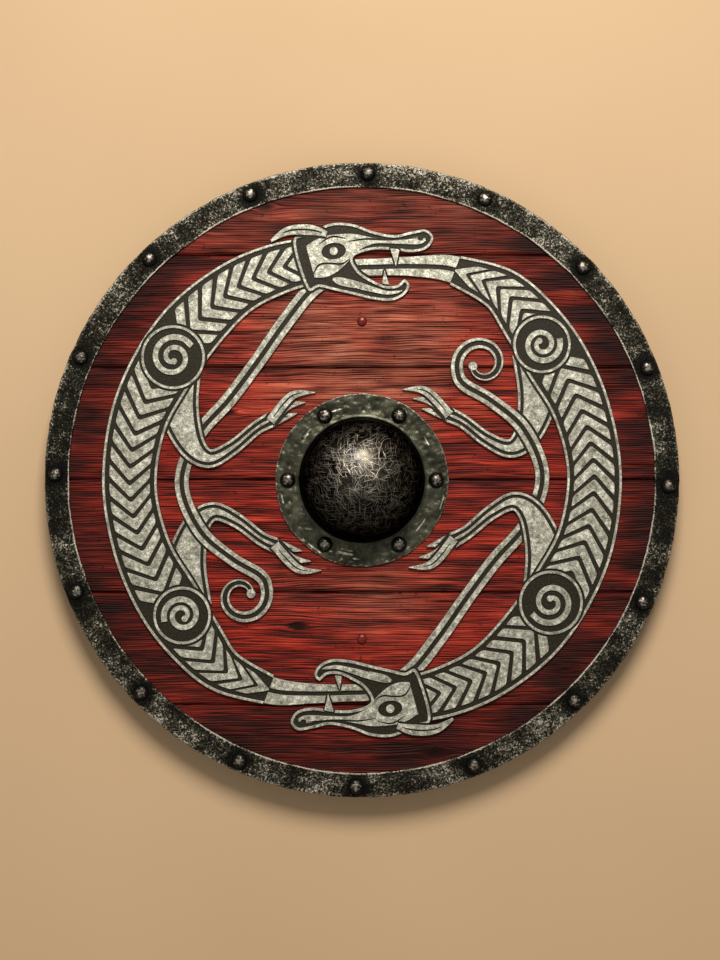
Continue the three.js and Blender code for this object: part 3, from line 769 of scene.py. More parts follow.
# %% [markdown]
# ## The rim
# A steel strip folded over the edge of the planks: a broad leg on the face, another
# behind. Its section is a closed ring of corners, set in the XZ plane and spun once round
# the shield. Dents, a wandering inner lip and a rough outer edge are pressed in after
# that. Wear is painted where silver would catch, and a painted highlight along the inner
# lip; the face is also painted lighter towards the top, where the light falls, and a little
# at the bottom.

# %% The rim
SPIN_STEPS = 640


def quarter(centre, radius_x, radius_z, start, end, steps):
    turns = np.radians(np.linspace(start, end, steps + 1))
    return [(centre[0] + radius_x * math.cos(t), centre[1] + radius_z * math.sin(t)) for t in turns]


def spun(name, section, steps):
    """A closed section of [radius, height] corners turned round the middle of the shield."""
    piece = primitive("circle", name, vertices=len(section), radius=1, fill_type="NOTHING")
    move_points(piece, [(radius, 0, height) for radius, height in section])
    open_mesh(piece)
    bpy.ops.mesh.select_all(action="SELECT")
    bpy.ops.mesh.spin(steps=steps, angle=2 * math.pi, center=(0, 0, 0), axis=(0, 0, 1))
    close_mesh()
    return piece


FOLD, LIP, RIM_WALL = 2.2 * MM, 0.9 * MM, 2 * MM
inner, outer = SHIELD_RADIUS - RIM_WIDTH, SHIELD_RADIUS
under_leg, above_back = Z_FACE - 0.4 * MM, Z_BACK - 0.3 * MM
leg = [(r, Z_RIM_TOP) for r in np.linspace(outer - FOLD, inner + LIP, 22)]
section = [
    (inner, under_leg),
    (outer - RIM_WALL, under_leg),
    (outer - RIM_WALL, above_back),
    (inner, above_back),
    (inner, Z_RIM_BACK),
    ((inner + outer) / 2, Z_RIM_BACK),
    *quarter((outer - FOLD, Z_RIM_BACK + FOLD), FOLD, FOLD, -90, 0, 4),
    (outer, (Z_BACK + Z_FACE) / 2),
    *quarter((outer - FOLD, Z_RIM_TOP - FOLD), FOLD, FOLD, 0, 90, 5)[:-1],
    *leg,
    *quarter((inner + LIP, Z_RIM_TOP - LIP), LIP, LIP, 90, 180, 3)[1:],
]
rim = spun("rim_channel", section, SPIN_STEPS)
points = points_of(rim)
radius = np.hypot(points[:, 0], points[:, 1])
x, y = points[:, 0] / MM, points[:, 1] / MM
on_face = points[:, 2] > Z_FACE + 0.8 * MM
RIVET_CIRCLE = 294
halo = np.zeros(len(points))
for i in range(1, 17):
    rivet_x, rivet_y = centre_of(f"rim_rivet_{i:02d}")
    rivet_turn = math.atan2(rivet_y, rivet_x)
    far = np.hypot(x - RIVET_CIRCLE * math.cos(rivet_turn), y - RIVET_CIRCLE * math.sin(rivet_turn))
    halo = np.maximum(halo, np.clip(1.25 - far / 13, 0, 1))
dents = 0.5 * MM * (noise(x / 9, y / 9, 7) - 0.8) + 0.3 * MM * (noise(x / 3.2, y / 3.2, 8) - 0.8)
points[:, 2] += np.where(on_face, dents * (1 - 0.6 * halo), 0)
lip = np.clip(1 - (radius - inner) / (5 * MM), 0, 1)
edge = np.clip(1 - (outer - radius) / (4 * MM), 0, 1)
stretch = 1.1 * MM * (noise(x / 26, y / 26, 9) - 0.5) + 0.5 * MM * (noise(x / 5, y / 5, 10) - 0.5)
rough = -0.9 * MM * noise(x / 6, y / 6, 11) * (points[:, 2] > Z_FACE)
shift = (stretch * lip * (points[:, 2] > Z_FACE) + rough * edge) / radius
points[:, 0] *= 1 + shift
points[:, 1] *= 1 + shift
move_points(rim, points)
# A bright line along the inner lip, partly edge wear and partly a painted highlight, and the outer fold worn
# bright. The face is also painted lighter towards the top, where the light falls, and a little at the bottom.
lip_wear_and_highlight = np.clip(1 - np.abs(radius - inner - 0.6 * MM) / (0.9 * MM), 0, 1) * noise(x / 22, y / 22, 12)
bright = 0.45 * lip_wear_and_highlight + 0.12 * edge + 0.05 * (y / 290) ** 2 + 0.015 * y / 290
paint(rim, "wear_and_painted_light", np.where(on_face, 0.012 + bright - 0.22 * halo, -0.05))
finish_in(rim, RIM)
smooth(rim, 40)
place(rim, "blackened_steel", "rim")
print(rim.name, "faces", len(rim.data.polygons))

# %% [markdown]
# ## Rivets and nails
# Every head is a small dome, hammered a little uneven. A sphere is cut flat through its
# middle, the flat is inset and drawn down into a shank, and each copy is then dented in
# its own way. The boss's rivets go right through and end in square washers behind.

# %% Rivets and nails
def head(name, radius, rise, seat, end, shank):
    """A dome on a seat, with a shank from its middle down to an end."""
    piece = primitive("uv_sphere", name, segments=32, ring_count=18, radius=1)
    open_mesh(piece)
    bpy.ops.mesh.select_all(action="SELECT")
    bpy.ops.mesh.bisect(
        plane_co=(0, 0, 0), plane_no=(0, 0, -1), use_fill=True, clear_outer=True, clear_inner=False
    )
    close_mesh()
    points = points_of(piece) * (radius, radius, rise)
    move_points(piece, points + (0, 0, seat))
    open_mesh(piece)
    pick(lambda p: p.z < seat + 1e-6, "FACE")
    bpy.ops.mesh.inset(thickness=radius - shank, depth=0)
    bpy.ops.mesh.extrude_region_move(TRANSFORM_OT_translate={"value": (0, 0, end - seat)})
    close_mesh()
    return piece


def hammer(piece, seat, rise, seed):
    """Makes a head a little uneven and leaning, and brighter towards its top."""
    luck = random.Random(seed)
    points = points_of(piece)
    above = points[:, 2] > seat + 0.02 * MM
    x, y = points[:, 0] / MM, points[:, 1] / MM
    z = (points[:, 2] - seat) / rise
    flat = 1 - luck.uniform(0.0, 0.10) * z
    bumps = 1 + 0.09 * (noise(x / 2.2 + seed * 3.1, y / 2.2, 5) - 0.5)
    lean = luck.uniform(-0.05, 0.05), luck.uniform(-0.05, 0.05)
    beaten = seat + z * rise * flat * bumps * (1 + lean[0] * x / 5 + lean[1] * y / 5)
    points[:, 2] = np.where(above, np.minimum(beaten, seat + rise), points[:, 2])
    points[:, :2] *= 1 + 0.035 * (noise(np.arctan2(y, x) * 2 + seed, z * 0, 6) - 0.5)[:, None]
    move_points(piece, points)
    paint(piece, "wear_and_painted_light", np.where(above, 0.10 + 0.36 * np.clip(z, 0, 1) ** 2, 0))


def add_washer(piece, wide, thick):
    """Joins a square plate to a rivet, flat against the back of the boards."""
    plate = primitive("cube", "washer", size=1, location=(0, 0, Z_BACK - thick / 2))
    plate.scale = (wide, wide, thick)
    only(plate)
    bpy.ops.object.transform_apply(location=True, rotation=False, scale=True)
    modify(plate, "BEVEL", width=0.4 * MM, segments=2)
    paint(plate, "wear_and_painted_light", np.zeros(len(plate.data.vertices)))
    only(piece)
    plate.select_set(True)
    bpy.ops.object.join()


def rivet(name, node_name, shape, seed, slot="blackened_steel", look=RIVETS, washer=None):
    piece = head(name, **shape)
    hammer(piece, shape["seat"], shape["rise"], seed)
    if washer:
        add_washer(piece, *washer)
    move_points(piece, points_of(piece) + (*centre_of(node_name), 0))
    finish_in(piece, look)
    smooth(piece, 50)
    place(piece, slot, node_name)


RIM_STUD = {
    "radius": 7.3 * MM, "rise": 4.5 * MM, "shank": 2.5 * MM,
    "seat": Z_RIM_TOP - 0.3 * MM, "end": Z_FACE - 9 * MM,
}
BOSS_STUD = {
    "radius": 7.6 * MM, "rise": 5 * MM, "shank": 2.5 * MM,
    "seat": Z_FACE + 1.8 * MM, "end": Z_BACK - 1 * MM,
}
RED_NAIL = {
    "radius": 4.8 * MM, "rise": 3 * MM, "shank": 1.7 * MM,
    "seat": Z_FACE - 0.2 * MM, "end": Z_BACK - 12 * MM,
}
WASHER = (9 * MM, 1.4 * MM)
for i in range(1, 17):
    rivet(f"rim_stud_{i:02d}", f"rim_rivet_{i:02d}", RIM_STUD, i)
for i in range(1, 7):
    rivet(f"boss_stud_{i}", f"boss_rivet_{i}", BOSS_STUD, 30 + i, washer=WASHER)
for i in (1, 2):
    rivet(f"red_nail_{i}", f"grip_nail_{i}", RED_NAIL, 50 + i, "red_painted_steel", NAILS)

# %% [markdown]
# ## The boss
# One steel sheet, beaten up into a hollow dome with a flat flange left round it. The
# section is spun as the rim's was. The flange then gets its hammer marks, the dome stays
# smooth, and each has a look of its own.

# %% The boss
BOSS_STEPS = 480
DOME_RADIUS, COVE, BOSS_SHEET = 59 * MM, 4.5 * MM, 2 * MM
springing = Z_FACE + BOSS_SHEET + COVE
rise = CROWN - springing
ease, sunk = 0.8 * MM, 0.3 * MM
flange_rings = np.linspace(FLANGE_RADIUS - ease, DOME_RADIUS + COVE + 0.3 * MM, 26)
flange = [(r, Z_FACE + BOSS_SHEET) for r in flange_rings]
section = [
    (FLANGE_RADIUS, Z_FACE - sunk),
    *quarter((FLANGE_RADIUS - ease, Z_FACE + BOSS_SHEET - ease), ease, ease, 0, 90, 3)[:-1],
    *flange,
    *quarter((DOME_RADIUS + COVE, springing), COVE, COVE, -90, -180, 6)[:-1],
    *quarter((0, springing), DOME_RADIUS, rise, 0, 90, 40),
    *quarter((0, springing), DOME_RADIUS - BOSS_SHEET, rise - BOSS_SHEET, 90, 0, 16),
    (DOME_RADIUS - BOSS_SHEET + 1 * MM, Z_FACE - sunk),
]
boss = spun("boss_dome", section, BOSS_STEPS)
points = points_of(boss)
radius = np.hypot(points[:, 0], points[:, 1])
x, y = points[:, 0] / MM, points[:, 1] / MM
on_flange = (radius > DOME_RADIUS + 1 * MM) & (points[:, 2] > Z_FACE + 1 * MM)
marks = 0.5 * MM * (noise(x / 8, y / 8, 21) - 0.9) + 0.12 * MM * (noise(x / 2.6, y / 2.6, 22) - 0.9)
luck = random.Random(5)
for _ in range(170):
    dint_x, dint_y = on_circle(luck.uniform(0, 360), luck.uniform(66, 83))
    wide, deep = luck.uniform(1.1, 2.6), luck.uniform(0.25, 0.6)
    marks -= deep * MM * np.exp(-((x - dint_x) ** 2 + (y - dint_y) ** 2) / wide**2)
gouges = np.zeros(len(points))
for _ in range(13):
    start, far, long = luck.uniform(0, 360), luck.uniform(68, 81), luck.uniform(4, 14)
    off = (np.degrees(np.arctan2(y, x)) - start + 180) % 360 - 180
    beside = np.abs(radius / MM - far - 0.08 * off * luck.uniform(-1, 1))
    gouge = np.clip(1.3 - beside / 0.8, 0, 1) * np.clip((long / 2 - np.abs(off)) / 1.5, 0, 1)
    gouges = np.maximum(gouges, gouge)
marks -= 0.3 * MM * gouges
points[:, 2] += np.where(on_flange, marks, 0)
edge = np.clip(1 - (FLANGE_RADIUS - radius) / (2.5 * MM), 0, 1)
shift = -0.8 * MM * noise(x / 7, y / 7, 23) * edge / np.maximum(radius, 1 * MM)
points[:, 0] *= 1 + shift
points[:, 1] *= 1 + shift
move_points(boss, points)
# Scratches and haze crowd on the crown, as wear, and fade to a dark foot, as painted shade.
dome_wear_and_painted_light = np.clip((points[:, 2] - springing) / rise, 0, 1) ** 2.6
foot = np.clip(1 - np.abs(radius - DOME_RADIUS - COVE - 1 * MM) / (2.5 * MM), 0, 1)
flange_wear = 0.45 * gouges + 0.30 * edge + 0.14 * foot
# Painted light: brighter on the dome's upper side, darker on its lower side.
dome_wear_and_painted_light *= np.clip(1 + 0.55 * y / 59, 0, 1.3)
paint(boss, "wear_and_painted_light", np.where(radius > DOME_RADIUS + 0.5 * MM, flange_wear, 0.03 + 0.97 * dome_wear_and_painted_light))
finish_in(boss, DOME, FLANGE)
for face in boss.data.polygons:
    far = math.hypot(face.center.x, face.center.y)
    face.material_index = 1 if far > DOME_RADIUS + 1.5 * MM and face.center.z < springing else 0
smooth(boss, 50)
place(boss, "dark_steel", "boss")
print(boss.name, "faces", len(boss.data.polygons), "crown", max(points[:, 2]))

# %% [markdown]
# ## The grip
# An ash batten down the back, waisted where the hand closes round it. A block has its
# edges bevelled, is cut across many times, and is drawn in at the waist.

# %% The grip
low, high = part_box("grip")
grip = primitive("cube", "grip_batten", size=1, location=(0, 0, (low[2] + high[2]) / 2))
grip.scale = (high[0] - low[0], high[1] - low[1], high[2] - low[2])
only(grip)
bpy.ops.object.transform_apply(location=True, rotation=False, scale=True)
modify(grip, "BEVEL", width=3 * MM, segments=5)
open_mesh(grip)
for cut in np.linspace(low[1] + 8 * MM, high[1] - 8 * MM, 60):
    bpy.ops.mesh.select_all(action="SELECT")
    bpy.ops.mesh.bisect(plane_co=(0, cut, 0), plane_no=(0, 1, 0))
close_mesh()
points = points_of(grip)
GRIP_END_WIDTH, GRIP_WAIST_WIDTH = 38, 30
along = np.clip((np.abs(points[:, 1]) / MM - 38) / 60, 0, 1)
narrowest = GRIP_WAIST_WIDTH / GRIP_END_WIDTH
points[:, 0] *= narrowest + (1 - narrowest) * along * along * (3 - 2 * along)
move_points(grip, points)
finish_in(grip, GRIP_WOOD)
smooth(grip, 40)
place(grip, "bare_wood", "grip")
print(grip.name, "faces", len(grip.data.polygons))

# %% [markdown]
# ## The carving: its lines
# Two beasts made of flat straps run round the boss, each the other turned half round. Their
# bodies, legs and tails pass over and under each other. A strap is drawn by a few places
# on its middle line, each with a width; a smooth curve is run through them, and its two
# sides are set off to the left and right. The places are given as degrees round the face,
# distance from the middle and width, in millimetres. Those of the head, skull, jaw and ear
# are given as distance forward along the head and outward of its line, with any width last.

# %% The carving's lines
EDGE, GROOVE, GAP = 3.2, 3.6, 1.5
BODY = [
    (100, 216, 44), (112, 218, 50), (124, 220, 54), (138, 219, 62), (152, 219, 62), (166, 222, 56),
    (182, 223, 53), (198, 221, 56), (212, 219, 62), (224, 222, 56), (234, 226, 44), (246, 220, 30),
]
TAIL = [
    (240, 224, 30), (248, 219, 26), (256, 211, 20), (265, 205, 17), (274, 202, 17), (284, 190, 16),
    (296, 168, 16), (312, 151, 15), (329, 149, 15), (345, 163, 14), (361, 173, 14), (377, 163, 14),
    (391, 146, 13), (403, 134, 13),
]
FORELEG = [
    (148, 208, 46), (158, 190, 40), (168, 168, 28), (172, 148, 19), (166, 128, 15), (154, 113, 14),
    (146, 104, 16),
]
HINDLEG = [
    (216, 206, 46), (206, 188, 40), (196, 166, 28), (192, 146, 19), (198, 126, 15), (210, 112, 14),
    (218, 103, 16),
]
HEAD_OUTLINE = [
    (-8, 24), (8, 28), (26, 34), (44, 32), (62, 25), (80, 23), (94, 29), (106, 34), (114, 28),
    (111, 16), (98, 9), (80, 8), (60, 6), (44, -1), (50, -14), (64, -22), (78, -26), (90, -24),
    (97, -17), (104, -22), (101, -32), (88, -40), (66, -41), (44, -37), (22, -31), (6, -25), (-8, -23),
]
SKULL = [
    (2, 1, 32), (14, 2, 38), (28, 7, 34), (44, 13, 20), (62, 15.5, 7), (80, 16, 4), (101, 21.5, 8),
    (108, 24.5, 3),
]
JAW = [
    (21, -19, 2.5), (28, -22, 8), (46, -27, 8), (64, -31, 6), (80, -33, 4.5), (91, -31, 3.6),
    (97, -28.5, 1.2),
]
EAR = [(22, 24, 6), (8, 31, 11), (-10, 35, 9), (-26, 31, 3)]
HEAD_TURN, HEAD_RADIUS = 104, 214
FINENESS = 8
print("places on one beast", sum(map(len, (BODY, TAIL, FORELEG, HINDLEG, HEAD_OUTLINE, SKULL, JAW, EAR))))

# %% [markdown]
# ## The carving: from places to curves
# A beast's places are turned from degrees and distances to points on the face, or set along
# its head, and a curve that passes through every one is run between them.


# %% Places and curves
def round_face(rows):
    """From [degrees round the face, distance from the middle] to the face."""
    return [(*on_circle(degrees, radius), *rest) for degrees, radius, *rest in rows]


def on_head(row):
    """From [forward along the head, outward of its line] to the face."""
    forward, outward, *rest = row
    turn = HEAD_TURN - math.degrees(forward / HEAD_RADIUS)
    return (*on_circle(turn, HEAD_RADIUS + outward), *rest)


def smoothed(rows, steps, closed=False):
    """A smooth curve through some rows of numbers, which carries their widths along."""
    count, curve = len(rows), []
    rows = np.array(rows, dtype=float)

    def row(i):
        return rows[i % count] if closed else rows[min(max(i, 0), count - 1)]

    for i in range(count if closed else count - 1):
        a, b, c, d = row(i - 1), row(i), row(i + 1), row(i + 2)
        for t in np.arange(steps) / steps:
            square = (2 * a - 5 * b + 4 * c - d) * t**2
            cube = (3 * b - a - 3 * c + d) * t**3
            curve.append(0.5 * (2 * b + (c - a) * t + square + cube))
    return np.array(curve if closed else [*curve, rows[-1]])


def left_of(line, closed=False):
    """A unit step to the left of a line, at each of its points."""
    before, after = np.roll(line, 1, axis=0), np.roll(line, -1, axis=0)
    if not closed:
        before[0], after[-1] = line[0], line[-1]
    run = after - before
    return np.stack([-run[:, 1], run[:, 0]], axis=1) / np.linalg.norm(run, axis=1)[:, None]


# %% [markdown]
# ## The carving: its straps
# A strap is a curve with a width. It gives its own two sides, the bands along them and the
# band down its middle, each as a closed outline that a slab can be made from.


# %% Straps
class Strap:
    def __init__(self, rows, steps=None):
        self.rows = smoothed(rows, steps or FINENESS)
        self.left = left_of(self.rows[:, :2])

    def line(self, away):
        return self.rows[:, :2] + self.left * np.asarray(away)[:, None]

    def side(self, part, inset=0.0):
        return self.line(part * np.maximum(self.rows[:, 2] / 2 - inset, 0.1))

    def middle(self, part):
        return self.line(part * np.minimum(GROOVE / 2, self.rows[:, 2] / 5))

    def outline(self, inset=0.0):
        return np.concatenate([self.side(1, inset), self.side(-1, inset)[::-1]])

    def core(self, inset, least=1.1):
        """The middle band, which comes to a point where the strap grows too narrow for it."""
        half = np.maximum(self.rows[:, 2] / 2 - inset, 0)
        wide = np.nonzero(half > least)[0]
        first, last = wide[0], wide[-1] + 1
        taper = np.clip((last - np.arange(first, last)) / 6, 0, 1)
        left = self.rows[first:last, :2] + self.left[first:last] * (half[first:last] * taper + 0.15)[:, None]
        right = self.rows[first:last, :2] - self.left[first:last] * (half[first:last] * taper + 0.15)[:, None]
        return np.concatenate([left, right[::-1]])

    def edges(self, width):
        return [np.concatenate([self.side(part), self.side(part, width)[::-1]]) for part in (1, -1)]

    def runs(self, inset, most=14):
        """The strap in overlapping stretches, short enough not to cross themselves in a coil."""
        left, right = self.side(1, inset), self.side(-1, inset)
        starts = range(0, len(left) - 1, most)
        return [np.concatenate([left[i : i + most + 1], right[i : i + most + 1][::-1]]) for i in starts]

    def spot(self, distance, part, inset):
        """A point so far along the strap, on its left side (1), middle (0) or right side (-1)."""
        steps = np.linalg.norm(np.diff(self.rows[:, :2], axis=0), axis=1)
        gone = np.concatenate([[0], np.cumsum(steps)])
        i = int(np.clip(np.searchsorted(gone, distance) - 1, 0, len(steps) - 1))
        t = (distance - gone[i]) / steps[i]
        x, y, width = self.rows[i] + (self.rows[i + 1] - self.rows[i]) * t
        return np.array([x, y]) + self.left[i] * part * (width / 2 - inset)

    @property
    def length(self):
        """How long its middle line is."""
        return float(np.linalg.norm(np.diff(self.rows[:, :2], axis=0), axis=1).sum())


# %% [markdown]
# ## The carving: shapes to fill it with
# Coils for the shoulder and hip, discs for their joints and eyes, and chevrons that fill
# the body between its edges.


# %% Coils, discs and chevrons
def spiral(centre, start_radius, end_radius, turns, start, hand, width, tip, steps):
    rows = []
    for t in np.linspace(0, 1, steps + 1):
        x, y = on_circle(start + hand * 360 * turns * t, start_radius + (end_radius - start_radius) * t)
        rows.append((centre[0] + x, centre[1] + y, width + (tip - width) * t))
    return rows


def disc(centre, radius, corners=64):
    ring = [on_circle(360 * i / corners, radius) for i in range(corners)]
    return np.array([(centre[0] + x, centre[1] + y) for x, y in ring])


def set_in(outline, distance):
    """A closed outline moved inwards by a distance."""
    x, y = outline[:, 0], outline[:, 1]
    turn = np.sign(np.sum(x * np.roll(y, -1) - np.roll(x, -1) * y))
    return outline + left_of(outline, closed=True) * distance * turn


def rounded(outline, cut):
    """A closed outline with each corner rounded off, from a distance before it to as far after."""
    shape = []
    for i, corner in enumerate(outline):
        before, after = outline[i - 1] - corner, outline[(i + 1) % len(outline)] - corner
        near = corner + before * min(cut / np.linalg.norm(before), 0.45)
        far = corner + after * min(cut / np.linalg.norm(after), 0.45)
        shape += [near, (near + 2 * corner + far) / 4, far]
    return np.array(shape)


CHEVRON_BAR, CHEVRON_POINT, CHEVRON_SPACING = 11.8, 20, 16


def chevrons(strap, start, end, covered):
    """V-shaped bars across a strap, but for those that lie under something."""
    bar, point, within, shapes = CHEVRON_BAR / 2, CHEVRON_POINT / 2, EDGE + GROOVE, []
    count = round((end - start) / CHEVRON_SPACING)
    for middle in start + (end - start) * (np.arange(count) + 0.5) / count:
        if covered(strap.spot(middle, 0, 0)):
            continue
        corners = [
            (bar + point, 0), (bar - point, 1), (-bar - point, 1),
            (point - bar, 0), (-bar - point, -1), (bar - point, -1),
        ]
        shapes.append(rounded(np.array([strap.spot(middle + a, p, within) for a, p in corners]), 2.6))
    return shapes


# %% [markdown]
# ## The carving: its solids
# Each outline becomes a thick slab. The walls of the silver slabs lean in towards the top
# by 0.65 mm, and the walls of the cuts lean out, as a V-shaped gouge leaves them, so that
# every edge catches a line of light. At a narrow tip they lean less, where the full lean would
# fold the top over itself. An outline of hundreds of computed corners has no primitive, so a
# slab's mesh is made from its corners, and the Boolean modifier joins and cuts the slabs.

# %% The carving's solids
LEAN = 0.65
UPRIGHT = 0.02


def leaned(outline, lean):
    """An outline set in, but by less wherever its short sides would turn back."""
    full = set_in(outline, lean) - outline
    part = np.ones((len(outline), 1))
    for _ in range(8):
        top = outline + full * part
        turned = np.sum((np.roll(outline, -1, 0) - outline) * (np.roll(top, -1, 0) - top), axis=1) <= 0
        if not turned.any():
            break
        part[turned] *= 0.5
        part[np.roll(turned, 1)] *= 0.5
    return top


def slab(outline, low, high, lean=0.0):
    """A slab over an outline in millimetres. lean draws its top in, or out if below zero, and
    is halved as long as it folds a narrow tip over itself."""
    count = len(outline)
    x, y = outline[:, 0], outline[:, 1]
    if np.sum(x * np.roll(y, -1) - np.roll(x, -1) * y) < 0:
        outline = outline[::-1]
    walls = [(i, (i + 1) % count, count + (i + 1) % count, count + i) for i in range(count)]
    ends = [tuple(range(count))[::-1], tuple(range(count, 2 * count))]
    folded = True
    while folded:
        top = leaned(outline, lean) if lean else outline
        corners = [(x * MM, y * MM, low) for x, y in outline] + [(x * MM, y * MM, high) for x, y in top]
        mesh = bpy.data.meshes.new("slab")
        mesh.from_pydata(corners, [], [*walls, *ends])
        cells = bmesh.new()
        cells.from_mesh(mesh)
        bmesh.ops.triangulate(cells, faces=cells.faces, ngon_method="EAR_CLIP")
        cells.normal_update()
        folded = abs(lean) > UPRIGHT and any(
            face.normal.z < 0 and all(corner.index >= count for corner in face.verts)
            for face in cells.faces
        )
        lean = lean / 2
    cells.to_mesh(mesh)
    cells.free()
    piece = bpy.data.objects.new("slab", mesh)
    bpy.context.collection.objects.link(piece)
    return piece


def combine(piece, other, operation):
    """Joins another solid to a piece, or cuts it out of it."""
    modify(piece, "BOOLEAN", operation=operation, solver="MANIFOLD", object=other)
    bpy.data.objects.remove(other)
    return piece


def both(outlines):
    """Each outline, and the same turned half round for the other beast."""
    return [shape for outline in outlines for shape in (outline, -outline)]


# %% [markdown]
# ## The carving: laying one part over another
# The overlay has two levels: a low ground that gets the charcoal, and the silver that stands
# on it. Parts are laid from the lowest up. Each one first cuts back the silver of what lies
# under it, and a little more all round, so that a dark line shows where they cross.

# %% Laying the parts
INTO_BOARDS, INTO_GROUND, PAST = 0.6 * MM, 0.4 * MM, 1 * MM
ground = silver = None


def add_silver(outlines):
    """Stands silver on the ground, over each outline and its twin."""
    global silver
    for outline in both(outlines):
        made = slab(outline, Z_GROUND - INTO_GROUND, Z_CARVED, LEAN)
        silver = combine(silver, made, "UNION") if silver else made


def cut_silver(outlines):
    """Cuts the silver away inside each outline and its twin."""
    for outline in both(outlines):
        combine(silver, slab(outline, Z_GROUND - PAST, Z_CARVED + PAST, -LEAN), "DIFFERENCE")


def lay(silhouettes, widened, tops):
    """Lays a part over the ones before it, and cuts their silver back all round itself."""
    global ground
    for outline in both(silhouettes):
        made = slab(outline, Z_FACE - INTO_BOARDS, Z_GROUND)
        ground = combine(ground, made, "UNION") if ground else made
    if silver:
        cut_silver(widened)
    add_silver(tops)


def engrave(rows, width):
    """A fine V-shaped line cut along some places, deep enough to show black."""
    taper = [0.35, *[1] * (len(rows) - 2), 0.35]
    line = Strap([(x, y, width * part) for (x, y), part in zip(rows, taper)], 6)
    for outline in both([line.outline()]):
        combine(silver, slab(outline, Z_GROUND + 0.15 * MM, Z_CARVED + 0.5 * MM, -0.3), "DIFFERENCE")


def add_bulb(centre, radius):
    """A round end on a coil, both its ground and its silver."""
    for outline in both([disc(centre, radius, 32)]):
        combine(ground, slab(outline, Z_FACE - INTO_BOARDS, Z_GROUND), "UNION")
    add_silver([disc(centre, radius, 32)])


def lay_strap(strap, tops, coiled=False):
    """Lays a whole strap, or a coiled one stretch by stretch."""
    if coiled:
        lay(strap.runs(0), strap.runs(-GAP), tops)
    else:
        lay([strap.outline()], [strap.outline(-GAP)], tops)


def banded(strap):
    """A leg's silver: two edges and a band down the middle."""
    return [*strap.edges(EDGE), strap.core(EDGE + 2.5)]


def twin(strap):
    """The tail's silver: two bands, with one groove between them."""
    return [np.concatenate([strap.side(part), strap.middle(part)[::-1]]) for part in (1, -1)]


# %% [markdown]
# ## The carving: legs, tail and body
# The hind leg lies lowest, then the tail with its curl, the foreleg and the body. The
# shoulder and hip cover the body's joints, each a disc with a coil in it.

# %% Legs, tail and body
tail_rows = round_face(TAIL)
curl_centre = on_circle(404, 160)
from_centre = np.array(tail_rows[-1][:2]) - curl_centre
curl_start = math.degrees(math.atan2(from_centre[1], from_centre[0]))
tail_rows += spiral(curl_centre, np.hypot(*from_centre), 9, 1.1, curl_start, -1, 13, 6, 12)[1:]
body = Strap(round_face(BODY))
joints = [(on_circle(147, 216), 31, 30, 1), (on_circle(217, 216), 28, 200, -1)]


def under_joint(spot):
    return any(math.dist(spot, centre) < radius / 2 for centre, radius, _, _ in joints)


for strap, tops in (
    (Strap(round_face(HINDLEG)), banded),
    (Strap(tail_rows), twin),
    (Strap(round_face(FORELEG)), banded),
    (body, lambda strap: [*strap.edges(EDGE), *chevrons(strap, 12, strap.length - 6, under_joint)]),
):
    lay_strap(strap, tops(strap), coiled=tops is twin)
add_bulb(tail_rows[-1][:2], 4.6)
coils = []
for centre, radius, start, hand in joints:
    lay([disc(centre, radius)], [disc(centre, radius + GAP)], [disc(centre, radius)])
    cut_silver([disc(centre, radius - EDGE)])
    coils.append(Strap(spiral(centre, radius - 10, 4, 1.7, start, hand, 6.4, 5, 24)))
print("silver faces", len(silver.data.polygons))

# %% [markdown]
# ## The carving: feet and head
# Each foot has three toes. The head is one outline with its rim left standing, and the
# skull, jaw, eye, ear and fangs are laid in it. Fine lines are engraved in them, and the
# nostril is cut last.

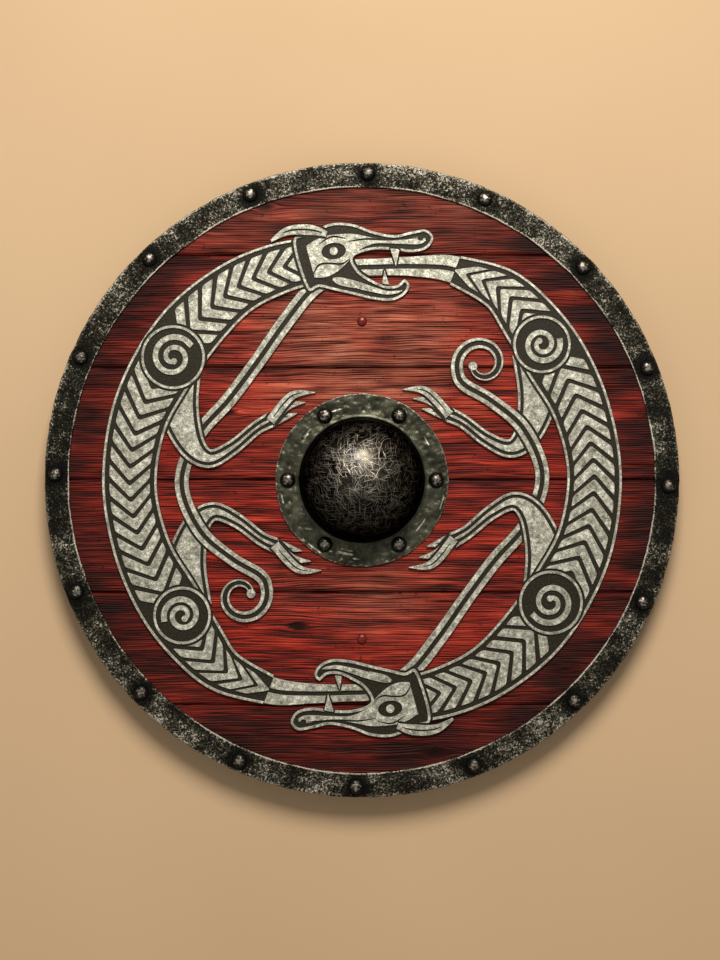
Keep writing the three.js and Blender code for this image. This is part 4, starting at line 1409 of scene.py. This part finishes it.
# %% Feet and head
for degrees, hand in ((146, -1), (218, 1)):
    for i in range(3):
        toe = [
            (degrees - hand * (1 + 0.3 * i), 103 + 0.7 * i, 11 - 0.6 * i),
            (degrees + hand * (4 + 6 * i), 97 + 4 * i, 9),
            (degrees + hand * (12 + 8 * i), 89 + 3 * i, 1.4),
        ]
        toe = Strap(round_face(toe))
        lay_strap(toe, [toe.outline()])
        engrave([row[:2] for row in toe.rows[len(toe.rows) // 6 : -len(toe.rows) // 5 : 3]], 1.1)
head_outline = np.array([on_head(row) for row in smoothed(HEAD_OUTLINE, FINENESS, closed=True)])
lay([head_outline], [set_in(head_outline, -GAP)], [head_outline])
cut_silver([set_in(head_outline, EDGE)])
skull, jaw = (Strap([on_head(row) for row in rows]) for rows in (SKULL, JAW))
add_silver([skull.outline(), jaw.outline(), *(coil.outline() for coil in coils)])
EYE, EYE_LONG, EYE_HIGH = (26, 7), 11, 7.5
turns = np.arange(0, 2 * math.pi, math.pi / 20)
eye = [on_head((EYE[0] + EYE_LONG * math.cos(t), EYE[1] + EYE_HIGH * math.sin(t))) for t in turns]
for coil in coils:
    add_silver([disc(coil.rows[-1][:2], 3.4, 24)])
cut_silver([np.array(eye)])
add_silver([disc(on_head(EYE), 4.4, 32)])
ear = Strap([on_head(row) for row in EAR])
lay_strap(ear, [ear.outline()])
engrave([row[:2] for row in ear.rows[3:-4:3]], 1.4)
for fang in ([(78, 10), (87, 10), (86, -7)], [(74, -25), (82, -25), (75, -11)]):
    fang = rounded(np.array([on_head(corner) for corner in fang]), 1.2)
    lay([fang], [set_in(fang, -1.1)], [fang])
for line in (
    [(2, -12), (10, -4), (20, -4), (32, -6), (40, -2)],
    [(40, 15), (56, 17), (74, 17.5), (90, 21), (100, 24)],
    [(14, 16), (26, 21), (38, 18)],
    [(44, -30), (62, -34.5), (80, -36), (90, -33)],
):
    engrave([on_head(place_on_head) for place_on_head in line], 1.5)
cut_silver([disc(on_head((103, 25)), 2.6, 20)])
print("silver faces", len(silver.data.polygons), "ground faces", len(ground.data.polygons))

# %% [markdown]
# ## The carving: one piece
# The ground and the silver are joined, because the overlay is carved from one piece of wood.

# %% The finished carving
carving = combine(ground, silver, "UNION")
carving.name = carving.data.name = "carved_overlay"
finish_in(carving, CARVED)
smooth(carving, 20)
place(carving, "silvered_wood", "carving")
print(carving.name, "faces", len(carving.data.polygons))
